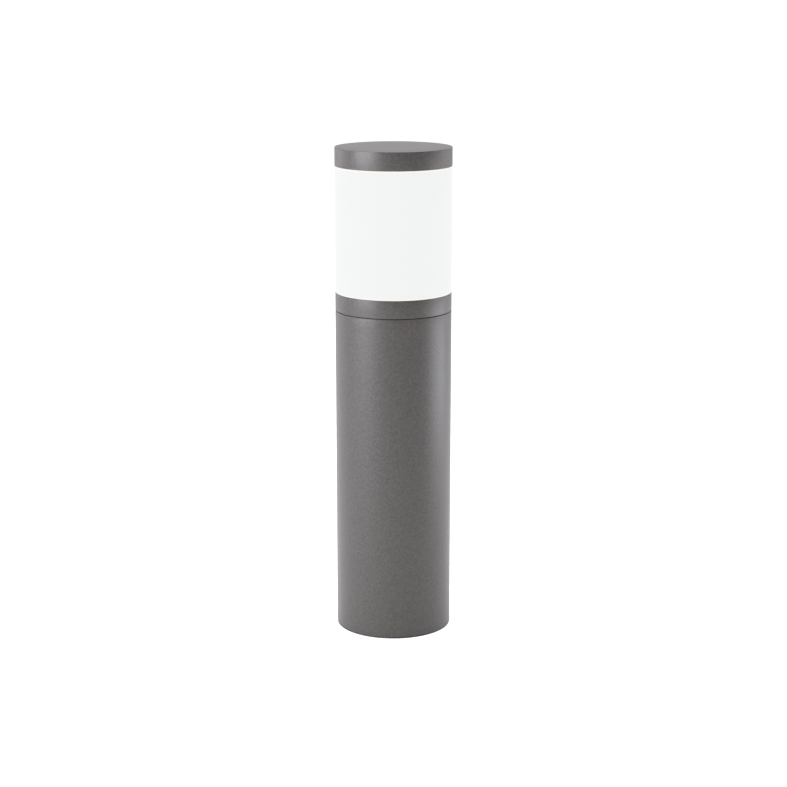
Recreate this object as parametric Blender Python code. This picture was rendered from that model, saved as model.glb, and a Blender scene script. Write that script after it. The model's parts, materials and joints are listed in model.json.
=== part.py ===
"""A pathway bollard light: a round post, and a lamp head that lifts out of it with its gear tray.

The post is an aluminium tube on a hidden base flange. Its top holds a cast collar. The lamp head stands on
a spigot in that collar, held by two set screws. The head carries a ring, an opal diffuser and a cap outside,
a six-sided LED column on a tie rod inside, and a gear tray that hangs down into the tube.

Lengths in the constants and in the outlines are millimetres. They become metres where a mesh is made.
The origin is the centre of the foot, +Z is up, and the front is -Y.
"""

import math

import bmesh
import bpy
from mathutils import Matrix, Vector

MM = 0.001

# Driving dimensions
RADIUS = 95.0  # outside of the tube, ring, diffuser and cap
TUBE_WALL = 4.0
TUBE_TOP = 535.0
SEAM = 1.0  # shadow gap between the tube and the ring
RING_HEIGHT = 29.0
DIFFUSER_SPACE = 205.0  # from the ring to the cap
CAP_HEIGHT = 30.0
CLEAR = 0.3  # gap between neighbouring pieces

# Holes and screws, as radii
M4_SHANK = 1.8
M4_HEAD = 3.5
M4_TAPPED = 2.1
M4_CLEAR = 2.3
M6_CLEAR = 3.3
STUD_RADIUS = 2.9

# Foot
FOOT_GASKET = 2.0
GASKET_INNER = 74.0
GASKET_OUTER = 94.5
FLANGE_THICKNESS = 12.0
FLANGE_NECK = 3.2  # how far the rim of the cable hole stands above the plate
COUNTERSINK = 6.4  # radius at the plate's underside
GROMMET_BORE = 31.0
GROMMET_FLANGE = 39.0
CABLE_HOLE_RADIUS = 35.0
ANCHOR_CIRCLE = 65.0
ANCHOR_SLOT = (11.0, 20.0)  # width and length
ANCHOR_ANGLES = (30, 150, 270)
EARTH_CIRCLE = 62.0

# Screw ports inside the extruded tube
PORT_CIRCLE = 83.0
PORT_RADIUS = 7.0
PORT_BORE = 2.75
PORT_SLOT = 1.0
PORT_WEB = 5.0
PORT_ANGLES = (90, 210, 330)

# Collar and the head's spigot
COLLAR_HEIGHT = 38.0
COLLAR_SEAT_THICKNESS = 6.0
COLLAR_BORE = 75.0
COLLAR_RIM = 77.3
COUNTERBORE = 5.4
SPIGOT_RADIUS = COLLAR_BORE - CLEAR
SPIGOT_INNER = 69.0
SPIGOT_GROOVE = (525.0, 529.0)  # between these heights
SPIGOT_GROOVE_FLOOR = 71.5
LOCK_HEIGHT = 513.0
LOCK_SCREW_LENGTH = 14.0
LOCK_TUBE_HOLE = 4.0

# Lamp chamber
DIFFUSER_WALL = 5.0
LIP_OUTER = 89.5
LIP_INNER = 84.0
LIP_HEIGHT = 8.0
SEAL_FLOOR = 87.0
SEAL_GROOVE = 3.0  # height
SEAL_CIRCLE = 88.4
HUB_OUTER = 80.0  # the ring's hub, that the spigot is pressed into
CHANNEL_OUTER = 90.0
FLOOR_THICKNESS = 8.0
FLOOR_HOLE = 4.6  # for the tie rod
GLAND_HOLE = 8.1
CAP_PLATE = 6.0
CAP_BOSS = 12.0
CAP_EDGE = 1.2  # radius of the cap's rounded edge
RIB_THICKNESS = 3.0
RIB_HEIGHT = 7.0
REFLECTOR_SHEET = 1.5
REFLECTOR_HOLE = 29.5
COLUMN_FLATS = 50.0
COLUMN_BORE = 5.0
TIE_ROD_RADIUS = 3.7
COLUMN_SCREW_CIRCLE = 15.0
COLUMN_SCREW_ANGLES = (30, 150, 270)
BOARD_SIZE = (24.0, 1.6, 180.0)
GLAND_ANGLE = 210
GLAND_CIRCLE = 38.0
GLAND_FLATS = 19.0
GLAND_THREAD = 7.7
LEAD_BORE = 3.1

# Gear tray
TRAY_BOTTOM = 240.0
TRAY_HALF_WIDTH = 60.0
TRAY_SHEET = 2.0
TRAY_WEB_FRONT = 24.0
TRAY_SIDE_FRONT = 14.0
TRAY_TAB = (44.0, 46.0)  # half its width, and the y of its back
TRAY_SCREW_AT = (30.0, 36.0)
DRIVER_BOTTOM = 350.0
DRIVER_LENGTH = 152.0
DRIVER_HALF_WIDTH = 30.0
DRIVER_HEIGHT = 32.0
DRIVER_PLATE = 2.0
DRIVER_COVER = 12.0
DRIVER_TAB = 10.0  # how far its foot plate stands out past each cover
RIB_PITCH = 6.0
RIB_GROOVE = (3.0, 1.5)  # width and depth
TERMINAL_BOTTOM = 280.0
TERMINAL_HEIGHT = 28.0
LEVER_PITCH = 10.0
FUSE_SIDES = (6.0, 20.0)  # x of the fuse base's two sides

# Heights that follow from those above
TUBE_BOTTOM = FOOT_GASKET + CLEAR
TUBE_INNER = RADIUS - TUBE_WALL
FIT_RADIUS = TUBE_INNER - CLEAR
FLANGE_TOP = TUBE_BOTTOM + FLANGE_THICKNESS
COLLAR_TOP = TUBE_TOP - 2
COLLAR_BOTTOM = COLLAR_TOP - COLLAR_HEIGHT
COLLAR_SEAT = COLLAR_BOTTOM + COLLAR_SEAT_THICKNESS
RING_BOTTOM = TUBE_TOP + SEAM
RING_TOP = RING_BOTTOM + RING_HEIGHT
FLOOR_TOP = RING_TOP - 4
FLOOR_BOTTOM = FLOOR_TOP - FLOOR_THICKNESS
CAP_BOTTOM = RING_TOP + DIFFUSER_SPACE
CAP_TOP = CAP_BOTTOM + CAP_HEIGHT
LEDGE = RING_TOP + 5.7  # the lower reflector lies on it
BOSS_BOTTOM = CAP_BOTTOM - 9.9
COLUMN_BOTTOM = FLOOR_TOP + CLEAR
COLUMN_TOP = BOSS_BOTTOM - 2.1
TRAY_TOP = FLOOR_BOTTOM - CLEAR
DRIVER_TOP = DRIVER_BOTTOM + DRIVER_LENGTH
DRIVER_SCREW_HEIGHTS = (DRIVER_BOTTOM - 5.5, DRIVER_TOP + 5.5)
TERMINAL_TOP = TERMINAL_BOTTOM + TERMINAL_HEIGHT
TERMINAL_FIRST = -27.0  # x of the first pole
WIRE_Y = TRAY_WEB_FRONT - 11.3  # y of the wire entries
EARTH_SCREW_AT = (24.0, TRAY_BOTTOM + 12)  # x and z

ROUND = 48  # sides of the large round pieces
SMALL_ROUND = 12  # sides of screws and small holes
MERGE = 1e-5  # metres, far below the smallest step in any outline
SHARP_ANGLE = math.radians(35)


# Materials: a colour, a roughness and a metallic value each


def material(name, colour, roughness, metallic=0.0):
    """A Principled material."""
    made = bpy.data.materials.new(name)
    made.use_nodes = True
    shader = made.node_tree.nodes["Principled BSDF"]
    shader.inputs["Base Color"].default_value = (*colour, 1.0)
    shader.inputs["Roughness"].default_value = roughness
    shader.inputs["Metallic"].default_value = metallic
    return made


def make_materials():
    """Every finish on the object, by name."""
    return {
        "coated": material("graphite_powder_coat", (0.165, 0.163, 0.160), 0.48, 0.35),
        "opal": material("opal_acrylic", (0.93, 0.93, 0.92), 0.35),
        "rubber": material("black_silicone", (0.02, 0.02, 0.02), 0.7),
        "cast": material("cast_aluminium", (0.55, 0.56, 0.57), 0.5, 0.9),
        "extruded": material("extruded_aluminium", (0.68, 0.69, 0.70), 0.32, 1.0),
        "steel": material("stainless_steel", (0.60, 0.60, 0.59), 0.28, 1.0),
        "zinc": material("zinc_plated_sheet", (0.56, 0.58, 0.60), 0.36, 0.9),
        "white_paint": material("white_reflector_paint", (0.86, 0.86, 0.85), 0.4),
        "board": material("white_solder_mask", (0.84, 0.85, 0.83), 0.35),
        "polyamide": material("grey_polyamide", (0.30, 0.31, 0.32), 0.55),
        "black_polyamide": material("black_polyamide", (0.03, 0.03, 0.03), 0.5),
        "orange": material("orange_lever_plastic", (0.80, 0.22, 0.03), 0.42),
        "glass": material("fuse_glass", (0.80, 0.84, 0.84), 0.08),
        "sheath": material("black_cable_sheath", (0.025, 0.025, 0.027), 0.55),
        "earth": material("green_yellow_insulation", (0.35, 0.52, 0.05), 0.5),
        "line": material("brown_insulation", (0.16, 0.06, 0.03), 0.5),
    }


# Meshes, from outlines in millimetres


def finished_mesh(bm, name="shape"):
    """A smooth-shaded mesh with sharp corners from a bmesh, its faces pointing out."""
    bmesh.ops.recalc_face_normals(bm, faces=bm.faces)
    mesh = bpy.data.meshes.new(name)
    bm.to_mesh(mesh)
    bm.free()
    mesh.shade_smooth()
    mesh.set_sharp_from_angle(angle=SHARP_ANGLE)
    return mesh


def turned(profile, segments=ROUND, centre=(0.0, 0.0)):
    """A solid turned about Z from (radius, height) points. An outline may start and end on the axis."""
    bm = bmesh.new()
    points = [bm.verts.new((r * MM, 0, z * MM)) for r, z in profile]
    edges = [bm.edges.new(pair) for pair in zip(points, points[1:])]
    on_axis = profile[0][0] == 0 and profile[-1][0] == 0
    if not on_axis:
        edges.append(bm.edges.new((points[-1], points[0])))
    bmesh.ops.spin(
        bm, geom=points + edges, cent=(0, 0, 0), axis=(0, 0, 1), angle=2 * math.pi, steps=segments
    )
    bmesh.ops.remove_doubles(bm, verts=bm.verts, dist=MERGE)
    if segments != ROUND:  # half a step round, so that a hole has no corner on a spoke of the plate it cuts
        half_step = Matrix.Rotation(math.pi / segments, 3, "Z")
        bmesh.ops.rotate(bm, verts=bm.verts, cent=(0, 0, 0), matrix=half_step)
    bmesh.ops.translate(bm, verts=bm.verts, vec=(centre[0] * MM, centre[1] * MM, 0))
    return finished_mesh(bm)


def rod(radius, low, high, centre=(0.0, 0.0), segments=SMALL_ROUND):
    """A plain upright cylinder."""
    return turned([(0, low), (radius, low), (radius, high), (0, high)], segments, centre)


def prism(outline, low, high):
    """An upright prism over a closed (x, y) outline."""
    bm = bmesh.new()
    base = bm.faces.new([bm.verts.new((x * MM, y * MM, low * MM)) for x, y in outline])
    grown = bmesh.ops.extrude_face_region(bm, geom=[base])["geom"]
    top = [item for item in grown if isinstance(item, bmesh.types.BMVert)]
    bmesh.ops.translate(bm, verts=top, vec=(0, 0, (high - low) * MM))
    return finished_mesh(bm)


def block(x, y, z):
    """A box between (low, high) pairs along each axis."""
    (x0, x1), (y0, y1) = x, y
    return prism([(x0, y0), (x1, y0), (x1, y1), (x0, y1)], *z)


def arc(centre, radius, start, end, steps):
    """Points along a circular arc, with its angles in radians."""
    angles = [start + (end - start) * i / steps for i in range(steps + 1)]
    return [(centre[0] + radius * math.cos(a), centre[1] + radius * math.sin(a)) for a in angles]


def hexagon(flats):
    """The six corners of a hexagon with that distance across its flats."""
    corner = flats / 2 / math.cos(math.pi / 6)
    return arc((0, 0), corner, 0, 5 * math.pi / 3, 5)


def transformed(mesh, matrix):
    """The same mesh, turned or shifted. The matrix is in metres."""
    mesh.transform(matrix)
    return mesh


def shifted(mesh, x=0.0, y=0.0, z=0.0):
    """The same mesh, moved by millimetres."""
    return transformed(mesh, Matrix.Translation(Vector((x, y, z)) * MM))


def along_x(mesh):
    """A mesh built along +Z, laid along +X."""
    return transformed(mesh, Matrix.Rotation(math.pi / 2, 4, "Y"))


def turned_about_z(mesh, degrees):
    """The same mesh, turned about the object's axis."""
    return transformed(mesh, Matrix.Rotation(math.radians(degrees), 4, "Z"))


def polar(circle, degrees):
    """The (x, y) of a point on a circle round the object's axis."""
    return circle * math.cos(math.radians(degrees)), circle * math.sin(math.radians(degrees))


# Objects


def add(name, mesh, finish, parent=None, at=(0.0, 0.0, 0.0), turn=None):
    """A named object with its finish, at a place in millimetres."""
    if not mesh.materials:
        mesh.materials.append(finish)
    obj = bpy.data.objects.new(name, mesh)
    bpy.context.scene.collection.objects.link(obj)
    obj.location = Vector(at) * MM
    if turn is not None:
        obj.rotation_euler = turn
    obj.parent = parent
    return obj


def boolean(obj, mesh, operation):
    """Joins a helper mesh to the object, or cuts it away."""
    number = 1 + sum(m.type == "BOOLEAN" for m in obj.modifiers)
    helper = bpy.data.objects.new(f"{obj.name}_helper_{number}", mesh)
    bpy.context.scene.collection.objects.link(helper)
    helper.matrix_basis = obj.matrix_basis
    helper.hide_render = True
    helper.display_type = "WIRE"
    modifier = obj.modifiers.new(f"{operation.lower()}_{number}", "BOOLEAN")
    modifier.solver = "EXACT"
    modifier.operation = operation
    modifier.object = helper


def cut(obj, *meshes):
    """Cuts each mesh away from the object."""
    for mesh in meshes:
        boolean(obj, mesh, "DIFFERENCE")


def join(obj, *meshes):
    """Joins each mesh to the object."""
    for mesh in meshes:
        boolean(obj, mesh, "UNION")


def soften(obj, width):
    """Rounds the object's corners a little with one bevel."""
    bevel = obj.modifiers.new("soft_corners", "BEVEL")
    bevel.width = width * MM
    bevel.segments = 1
    bevel.limit_method = "ANGLE"


def empty(name):
    """A parent at the origin, on the head's lifting axis."""
    made = bpy.data.objects.new(name, None)
    bpy.context.scene.collection.objects.link(made)
    return made


# Fasteners: each mesh stands on its seat at height 0, with its head above and its shank below


def with_socket(profile, flats, low, high, segments=SMALL_ROUND):
    """A turned screw with a hexagon socket cut into it."""
    screw = bpy.data.objects.new("screw_master", turned(profile, segments))
    bpy.context.scene.collection.objects.link(screw)
    cut(screw, prism(hexagon(flats), low, high))
    graph = bpy.context.evaluated_depsgraph_get()
    mesh = bpy.data.meshes.new_from_object(screw.evaluated_get(graph))
    for modifier in screw.modifiers:
        bpy.data.objects.remove(modifier.object)
    bpy.data.objects.remove(screw)
    return mesh


def head_screw(shank, length, head, height, flats):
    """A cylinder-head screw."""
    chamfer = 0.4
    profile = [
        (0, -length),
        (shank - chamfer, -length),
        (shank, chamfer - length),
        (shank, 0),
        (head, 0),
        (head, height - chamfer),
        (head - chamfer, height),
        (0, height),
    ]
    return with_socket(profile, flats, height * 0.45, height + 1)


def countersunk_screw(shank, length, head, depth, flats):
    """A countersunk screw, its flat head level with height 0."""
    profile = [(0, -length), (shank, -length), (shank, -depth), (head, -0.3), (head, 0), (0, 0)]
    return with_socket(profile, flats, -depth * 0.7, 1)


def set_screw(radius, length, flats):
    """A headless screw with a cone point at height 0."""
    profile = [(0, 0), (radius * 0.4, 0), (radius, radius * 0.6), (radius, length), (0, length)]
    return with_socket(profile, flats, length * 0.55, length + 1)


def add_nut(name, flats, hole, low, high, finish, parent=None, centre=(0.0, 0.0)):
    """A hexagon nut with its hole."""
    nut = add(name, shifted(prism(hexagon(flats), low, high), *centre), finish, parent)
    cut(nut, rod(hole, low - 1, high + 1, centre))
    return nut


# Leads


def smooth_route(points, steps):
    """A smooth curve through the points, with a number of short steps between each two."""
    ends = [2 * points[0] - points[1], *points, 2 * points[-1] - points[-2]]
    route = []
    for a, b, c, d in zip(ends, ends[1:], ends[2:], ends[3:]):
        for step in range(steps):
            t = step / steps
            route.append(
                0.5 * (2 * b + (c - a) * t + (2 * a - 5 * b + 4 * c - d) * t**2
                       + (3 * b - a - 3 * c + d) * t**3)
            )
    return [*route, points[-1]]


def add_lead(name, places, radius, finish, parent, steps=4):
    """A round lead along a smooth route through hand-chosen places."""
    route = smooth_route([Vector(place) * MM for place in places], steps)
    curve = bpy.data.curves.new(name, "CURVE")
    curve.dimensions = "3D"
    curve.bevel_depth = radius * MM
    curve.bevel_resolution = 2
    curve.use_fill_caps = True
    spline = curve.splines.new("POLY")
    spline.points.add(len(route) - 1)
    for point, place in zip(spline.points, route):
        point.co = (*place, 1.0)
    curve.materials.append(finish)
    lead = bpy.data.objects.new(name, curve)
    bpy.context.scene.collection.objects.link(lead)
    lead.parent = parent


# The post


def port_outline():
    """One screw port of the extrusion: a C with its mouth inwards, and a web that joins it to the wall."""
    centre = (PORT_CIRCLE, 0)
    mouth = math.asin(PORT_SLOT / PORT_RADIUS)
    web = math.asin(PORT_WEB / PORT_RADIUS)
    bore_mouth = math.asin(PORT_SLOT / PORT_BORE)
    into_wall = RADIUS - TUBE_WALL / 2
    return [
        *arc(centre, PORT_RADIUS, math.pi + mouth, 2 * math.pi - web, 6),
        (into_wall, -PORT_WEB),
        (into_wall, PORT_WEB),
        *arc(centre, PORT_RADIUS, web, math.pi - mouth, 6),
        *arc(centre, PORT_BORE, math.pi - bore_mouth, bore_mouth - math.pi, 12),
    ]


def lock_hole(radius, side):
    """A radial hole for a set screw, on the side where X has that sign."""
    hole = along_x(rod(radius, COLLAR_BORE - 3, RADIUS + 2))
    return shifted(turned_about_z(hole, 0 if side > 0 else 180), z=LOCK_HEIGHT)


def build_tube(finish):
    """The extruded tube with its three screw ports and the two set screw holes."""
    wall = [
        (TUBE_INNER, TUBE_BOTTOM),
        (RADIUS - 0.4, TUBE_BOTTOM),
        (RADIUS, TUBE_BOTTOM + 0.4),
        (RADIUS, TUBE_TOP - 0.5),
        (RADIUS - 0.5, TUBE_TOP),
        (TUBE_INNER, TUBE_TOP),
    ]
    tube = add("post_tube", turned(wall), finish["coated"])
    low, high = FLANGE_TOP + CLEAR, COLLAR_BOTTOM - CLEAR
    for angle in PORT_ANGLES:
        join(tube, turned_about_z(prism(port_outline(), low, high), angle))
    for side in (-1, 1):
        cut(tube, lock_hole(LOCK_TUBE_HOLE, side))


def slot_outline(width, length, centre, degrees):
    """A slot with round ends, its length across the radius that points that way."""
    half, reach = width / 2, (length - width) / 2
    ends = arc((0, reach), half, 0, math.pi, 8) + arc((0, -reach), half, math.pi, 2 * math.pi, 8)
    cos, sin = math.cos(math.radians(degrees)), math.sin(math.radians(degrees))
    return [(centre[0] + x * cos - y * sin, centre[1] + x * sin + y * cos) for x, y in ends]


def build_foot(finish):
    """The base flange in the tube's foot, its gasket, screws, cable grommet and earth stud."""
    rim = [(GASKET_INNER, 0), (GASKET_OUTER, 0), (GASKET_OUTER, FOOT_GASKET), (GASKET_INNER, FOOT_GASKET)]
    add("base_gasket", turned(rim), finish["rubber"])

    neck_outer, neck_top = CABLE_HOLE_RADIUS + 6, FLANGE_TOP + FLANGE_NECK
    flange = add(
        "base_flange",
        turned(
            [
                (CABLE_HOLE_RADIUS, TUBE_BOTTOM),
                (FIT_RADIUS, TUBE_BOTTOM),
                (FIT_RADIUS, FLANGE_TOP),
                (neck_outer + 2, FLANGE_TOP),
                (neck_outer, neck_top),
                (CABLE_HOLE_RADIUS, neck_top),
            ]
        ),
        finish["cast"],
    )
    for angle in ANCHOR_ANGLES:
        slot = slot_outline(*ANCHOR_SLOT, polar(ANCHOR_CIRCLE, angle), angle)
        cut(flange, prism(slot, TUBE_BOTTOM - 1, FLANGE_TOP + 1))

    screw = countersunk_screw(PORT_BORE - CLEAR, 25, 6.0, 3.3, 4.0)
    seat = [
        (0, TUBE_BOTTOM - 1),
        (COUNTERSINK, TUBE_BOTTOM - 1),
        (COUNTERSINK, TUBE_BOTTOM + 0.9),
        (M6_CLEAR, TUBE_BOTTOM + 4),
        (M6_CLEAR, FLANGE_TOP + 1),
        (0, FLANGE_TOP + 1),
    ]
    for number, angle in enumerate(PORT_ANGLES, 1):
        centre = polar(PORT_CIRCLE, angle)
        cut(flange, turned(seat, SMALL_ROUND, centre))
        at = (*centre, TUBE_BOTTOM + CLEAR)
        add(f"flange_screw_{number}", screw, finish["steel"], at=at, turn=(math.pi, 0, 0))

    sleeve, shoulder = CABLE_HOLE_RADIUS - CLEAR, neck_top + CLEAR
    add(
        "cable_grommet",
        turned(
            [
                (GROMMET_BORE, TUBE_BOTTOM + CLEAR),
                (sleeve, TUBE_BOTTOM + CLEAR),
                (sleeve, shoulder),
                (GROMMET_FLANGE, shoulder),
                (GROMMET_FLANGE, shoulder + 2),
                (GROMMET_FLANGE - 1, shoulder + 3),
                (GROMMET_BORE, shoulder + 3),
            ],
        ),
        finish["rubber"],
    )

    stud_at = polar(EARTH_CIRCLE, 90)
    stud_low = TUBE_BOTTOM + 3
    cut(flange, rod(M6_CLEAR, stud_low - CLEAR, FLANGE_TOP + 1, stud_at))
    add("earth_stud", rod(STUD_RADIUS, stud_low, FLANGE_TOP + 18, stud_at), finish["steel"])
    nut_low = FLANGE_TOP + CLEAR
    add_nut("earth_nut", 10, M6_CLEAR, nut_low, nut_low + 5, finish["steel"], centre=stud_at)


def build_collar(finish):
    """The cast collar in the tube's mouth, and the three screws that hold it to the ports."""
    rim_top = RING_BOTTOM - CLEAR
    collar = add(
        "post_collar",
        turned(
            [
                (COLLAR_BORE, COLLAR_BOTTOM),
                (FIT_RADIUS, COLLAR_BOTTOM),
                (FIT_RADIUS, COLLAR_TOP),
                (COLLAR_RIM, COLLAR_TOP),
                (COLLAR_RIM, rim_top),
                (COLLAR_BORE, rim_top),
            ]
        ),
        finish["cast"],
    )
    screw = head_screw(PORT_BORE - CLEAR, 20, 5.0, 6.0, 5.0)
    counterbore = [
        (0, COLLAR_BOTTOM - 1),
        (M6_CLEAR, COLLAR_BOTTOM - 1),
        (M6_CLEAR, COLLAR_SEAT),
        (COUNTERBORE, COLLAR_SEAT),
        (COUNTERBORE, COLLAR_TOP + 1),
        (0, COLLAR_TOP + 1),
    ]
    for number, angle in enumerate(PORT_ANGLES, 1):
        centre = polar(PORT_CIRCLE, angle)
        cut(collar, turned(counterbore, SMALL_ROUND, centre))
        add(f"collar_screw_{number}", screw, finish["steel"], at=(*centre, COLLAR_SEAT + CLEAR))
    for side in (-1, 1):
        cut(collar, lock_hole(M6_CLEAR, side))


def build_lock_screws(finish):
    """The two set screws that hold the head. Each has its origin at its point, on its own axis."""
    screw = set_screw(STUD_RADIUS, LOCK_SCREW_LENGTH, 3.0)
    for name, side in (("lock_screw_left", -1), ("lock_screw_right", 1)):
        at = (side * (SPIGOT_RADIUS + CLEAR), 0, LOCK_HEIGHT)
        add(name, screw, finish["steel"], at=at, turn=(0, side * math.pi / 2, 0))


# The lamp head


def sealed_lip(root, tip):
    """A lip's outer side from its root to its tip, with the groove of a seal half way along."""
    way = 1 if tip > root else -1
    middle = (root + tip) / 2
    near, far = middle - way * SEAL_GROOVE / 2, middle + way * SEAL_GROOVE / 2
    return [
        (LIP_OUTER, root),
        (LIP_OUTER, near),
        (SEAL_FLOOR, near),
        (SEAL_FLOOR, far),
        (LIP_OUTER, far),
        (LIP_OUTER, tip),
    ]


def seal_ring(radius, section, height):
    """A round-section seal."""
    return turned(arc((radius, height), section, 0, 5 * math.pi / 3, 5))


def build_head_base(finish, head):
    """The cast ring with its hub, floor and holes."""
    ledge_inner = LIP_INNER - 1
    base = add(
        "head_base",
        turned(
            [
                (COLLAR_BORE, RING_BOTTOM),
                (HUB_OUTER, RING_BOTTOM),
                (HUB_OUTER, FLOOR_BOTTOM),
                (CHANNEL_OUTER, FLOOR_BOTTOM),
                (CHANNEL_OUTER, RING_BOTTOM),
                (RADIUS - 0.5, RING_BOTTOM),
                (RADIUS, RING_BOTTOM + 0.5),
                (RADIUS, RING_TOP - 0.5),
                (RADIUS - 0.5, RING_TOP),
                *sealed_lip(RING_TOP, RING_TOP + LIP_HEIGHT),
                (LIP_INNER + 2, RING_TOP + LIP_HEIGHT),
                (LIP_INNER + 2, LEDGE),
                (ledge_inner, LEDGE),
                (ledge_inner, FLOOR_TOP),
                (FLOOR_HOLE, FLOOR_TOP),
                (FLOOR_HOLE, FLOOR_BOTTOM),
                (COLLAR_BORE, FLOOR_BOTTOM),
            ]
        ),
        finish["coated"],
        head,
    )
    low, high = FLOOR_BOTTOM - 1, FLOOR_TOP + 1
    for angle in COLUMN_SCREW_ANGLES:
        cut(base, rod(M4_CLEAR, low, high, polar(COLUMN_SCREW_CIRCLE, angle)))
    screw_x, screw_y = TRAY_SCREW_AT
    for side in (-1, 1):
        cut(base, rod(M4_TAPPED, low, FLOOR_TOP - 2, (side * screw_x, screw_y)))
    cut(base, rod(GLAND_HOLE, low, high, polar(GLAND_CIRCLE, GLAND_ANGLE)))


def build_spigot(finish, head):
    """The tube that is pressed into the ring's hub and stands in the collar, with its seal."""
    low, high = COLLAR_SEAT - 1, FLOOR_BOTTOM - CLEAR
    groove_low, groove_high = SPIGOT_GROOVE
    add(
        "head_spigot",
        turned(
            [
                (SPIGOT_INNER, low),
                (SPIGOT_RADIUS - 1, low),
                (SPIGOT_RADIUS, low + 1),
                (SPIGOT_RADIUS, groove_low),
                (SPIGOT_GROOVE_FLOOR, groove_low),
                (SPIGOT_GROOVE_FLOOR, groove_high),
                (SPIGOT_RADIUS, groove_high),
                (SPIGOT_RADIUS, high),
                (SPIGOT_INNER, high),
            ]
        ),
        finish["extruded"],
        head,
    )
    middle = (groove_low + groove_high) / 2
    add("head_o_ring", seal_ring(73.2, 1.4, middle), finish["rubber"], head)


def build_chamber(finish, head):
    """The diffuser and its two seals, the cap, and the white reflector at each end."""
    for name, middle in (
        ("lower_seal", RING_TOP + LIP_HEIGHT / 2),
        ("upper_seal", CAP_BOTTOM - LIP_HEIGHT / 2),
    ):
        add(name, seal_ring(SEAL_CIRCLE, 1.2, middle), finish["rubber"], head)

    inner, low, high = RADIUS - DIFFUSER_WALL, RING_TOP + CLEAR, CAP_BOTTOM - CLEAR
    tube = [
        (inner, low),
        (RADIUS - 0.4, low),
        (RADIUS, low + 0.4),
        (RADIUS, high - 0.4),
        (RADIUS - 0.4, high),
        (inner, high),
    ]
    add("diffuser", turned(tube), finish["opal"], head)

    plate_under, hole_top = CAP_TOP - CAP_PLATE, CAP_TOP - 2 * CAP_PLATE
    cap = add(
        "top_cap",
        turned(
            [
                (0, CAP_TOP),
                *arc((RADIUS - CAP_EDGE, CAP_TOP - CAP_EDGE), CAP_EDGE, math.pi / 2, 0, 4),
                (RADIUS, CAP_BOTTOM + 0.5),
                (RADIUS - 0.5, CAP_BOTTOM),
                *sealed_lip(CAP_BOTTOM, CAP_BOTTOM - LIP_HEIGHT),
                (LIP_INNER, CAP_BOTTOM - LIP_HEIGHT),
                (LIP_INNER, plate_under),
                (CAP_BOSS, plate_under),
                (CAP_BOSS, BOSS_BOTTOM),
                (TIE_ROD_RADIUS + 0.5, BOSS_BOTTOM),
                (TIE_ROD_RADIUS + 0.5, hole_top),
                (0, hole_top),
            ]
        ),
        finish["coated"],
        head,
    )
    half, rib_low = RIB_THICKNESS / 2, plate_under - RIB_HEIGHT
    for number in range(6):
        rib = block((CAP_BOSS - 1, LIP_INNER + 1), (-half, half), (rib_low, plate_under + 1))
        join(cap, turned_about_z(rib, 60 * number + 2.5))

    disc_low, disc_outer = LEDGE + CLEAR, LIP_INNER + 1.7
    lower = add(
        "lower_reflector",
        turned(
            [
                (REFLECTOR_HOLE, disc_low),
                (disc_outer, disc_low),
                (disc_outer, disc_low + REFLECTOR_SHEET),
                (REFLECTOR_HOLE, disc_low + REFLECTOR_SHEET),
            ]
        ),
        finish["white_paint"],
        head,
    )
    cut(lower, rod(5, LEDGE - 1, LEDGE + 4, polar(GLAND_CIRCLE, GLAND_ANGLE)))
    rim, sheet = LIP_INNER - CLEAR, REFLECTOR_SHEET
    disc_low, rim_top = COLUMN_TOP + CLEAR, COLUMN_TOP + 8
    add(
        "upper_reflector",
        turned(
            [
                (FLOOR_HOLE, disc_low),
                (rim, disc_low),
                (rim, rim_top),
                (rim - sheet, rim_top),
                (rim - sheet, disc_low + sheet),
                (FLOOR_HOLE, disc_low + sheet),
            ]
        ),
        finish["white_paint"],
        head,
    )


def build_led_column(finish, head):
    """The six-sided column, its boards and screws, and the tie rod that draws the cap down."""
    column = add(
        "led_column", prism(hexagon(COLUMN_FLATS), COLUMN_BOTTOM, COLUMN_TOP), finish["extruded"], head
    )
    low, high = COLUMN_BOTTOM - 1, COLUMN_TOP + 1
    cut(column, rod(COLUMN_BORE, low, high))
    cavity = [(9, -3.5), (19.5, -8.5), (19.5, 8.5), (9, 3.5)]
    for angle in PORT_ANGLES:
        cut(column, turned_about_z(prism(cavity, low, high), angle))
    screw = head_screw(M4_SHANK, 18, M4_HEAD, 4.0, 3.0)
    for number, angle in enumerate(COLUMN_SCREW_ANGLES, 1):
        centre = polar(COLUMN_SCREW_CIRCLE, angle)
        cut(column, rod(M4_TAPPED, low, high, centre))
        at = (*centre, FLOOR_BOTTOM - CLEAR)
        add(f"column_screw_{number}", screw, finish["steel"], head, at, (math.pi, 0, 0))

    width, thickness, length = BOARD_SIZE
    back = COLUMN_FLATS / 2 + CLEAR
    board_low = LEDGE + 4.3
    board = block((back, back + thickness), (-width / 2, width / 2), (board_low, board_low + length))
    for number in range(6):
        turn = (0, 0, math.radians(60 * number - 90))
        add(f"led_board_{number + 1}", board, finish["board"], head, turn=turn)

    washer_high = FLOOR_BOTTOM - CLEAR
    washer_low = washer_high - 1.6
    nut_high = washer_low - CLEAR
    nut_low = nut_high - 6.5
    rod_low, rod_high = nut_low - 3, CAP_TOP - 2.5 * CAP_PLATE
    add("tie_rod", rod(TIE_ROD_RADIUS, rod_low, rod_high, segments=24), finish["steel"], head)
    hole = TIE_ROD_RADIUS + 0.5
    washer = [(hole, washer_low), (10, washer_low), (10, washer_high), (hole, washer_high)]
    add("tie_washer", turned(washer, 24), finish["steel"], head)
    add_nut("tie_nut", 13, hole, nut_low, nut_high, finish["steel"], head)


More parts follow.
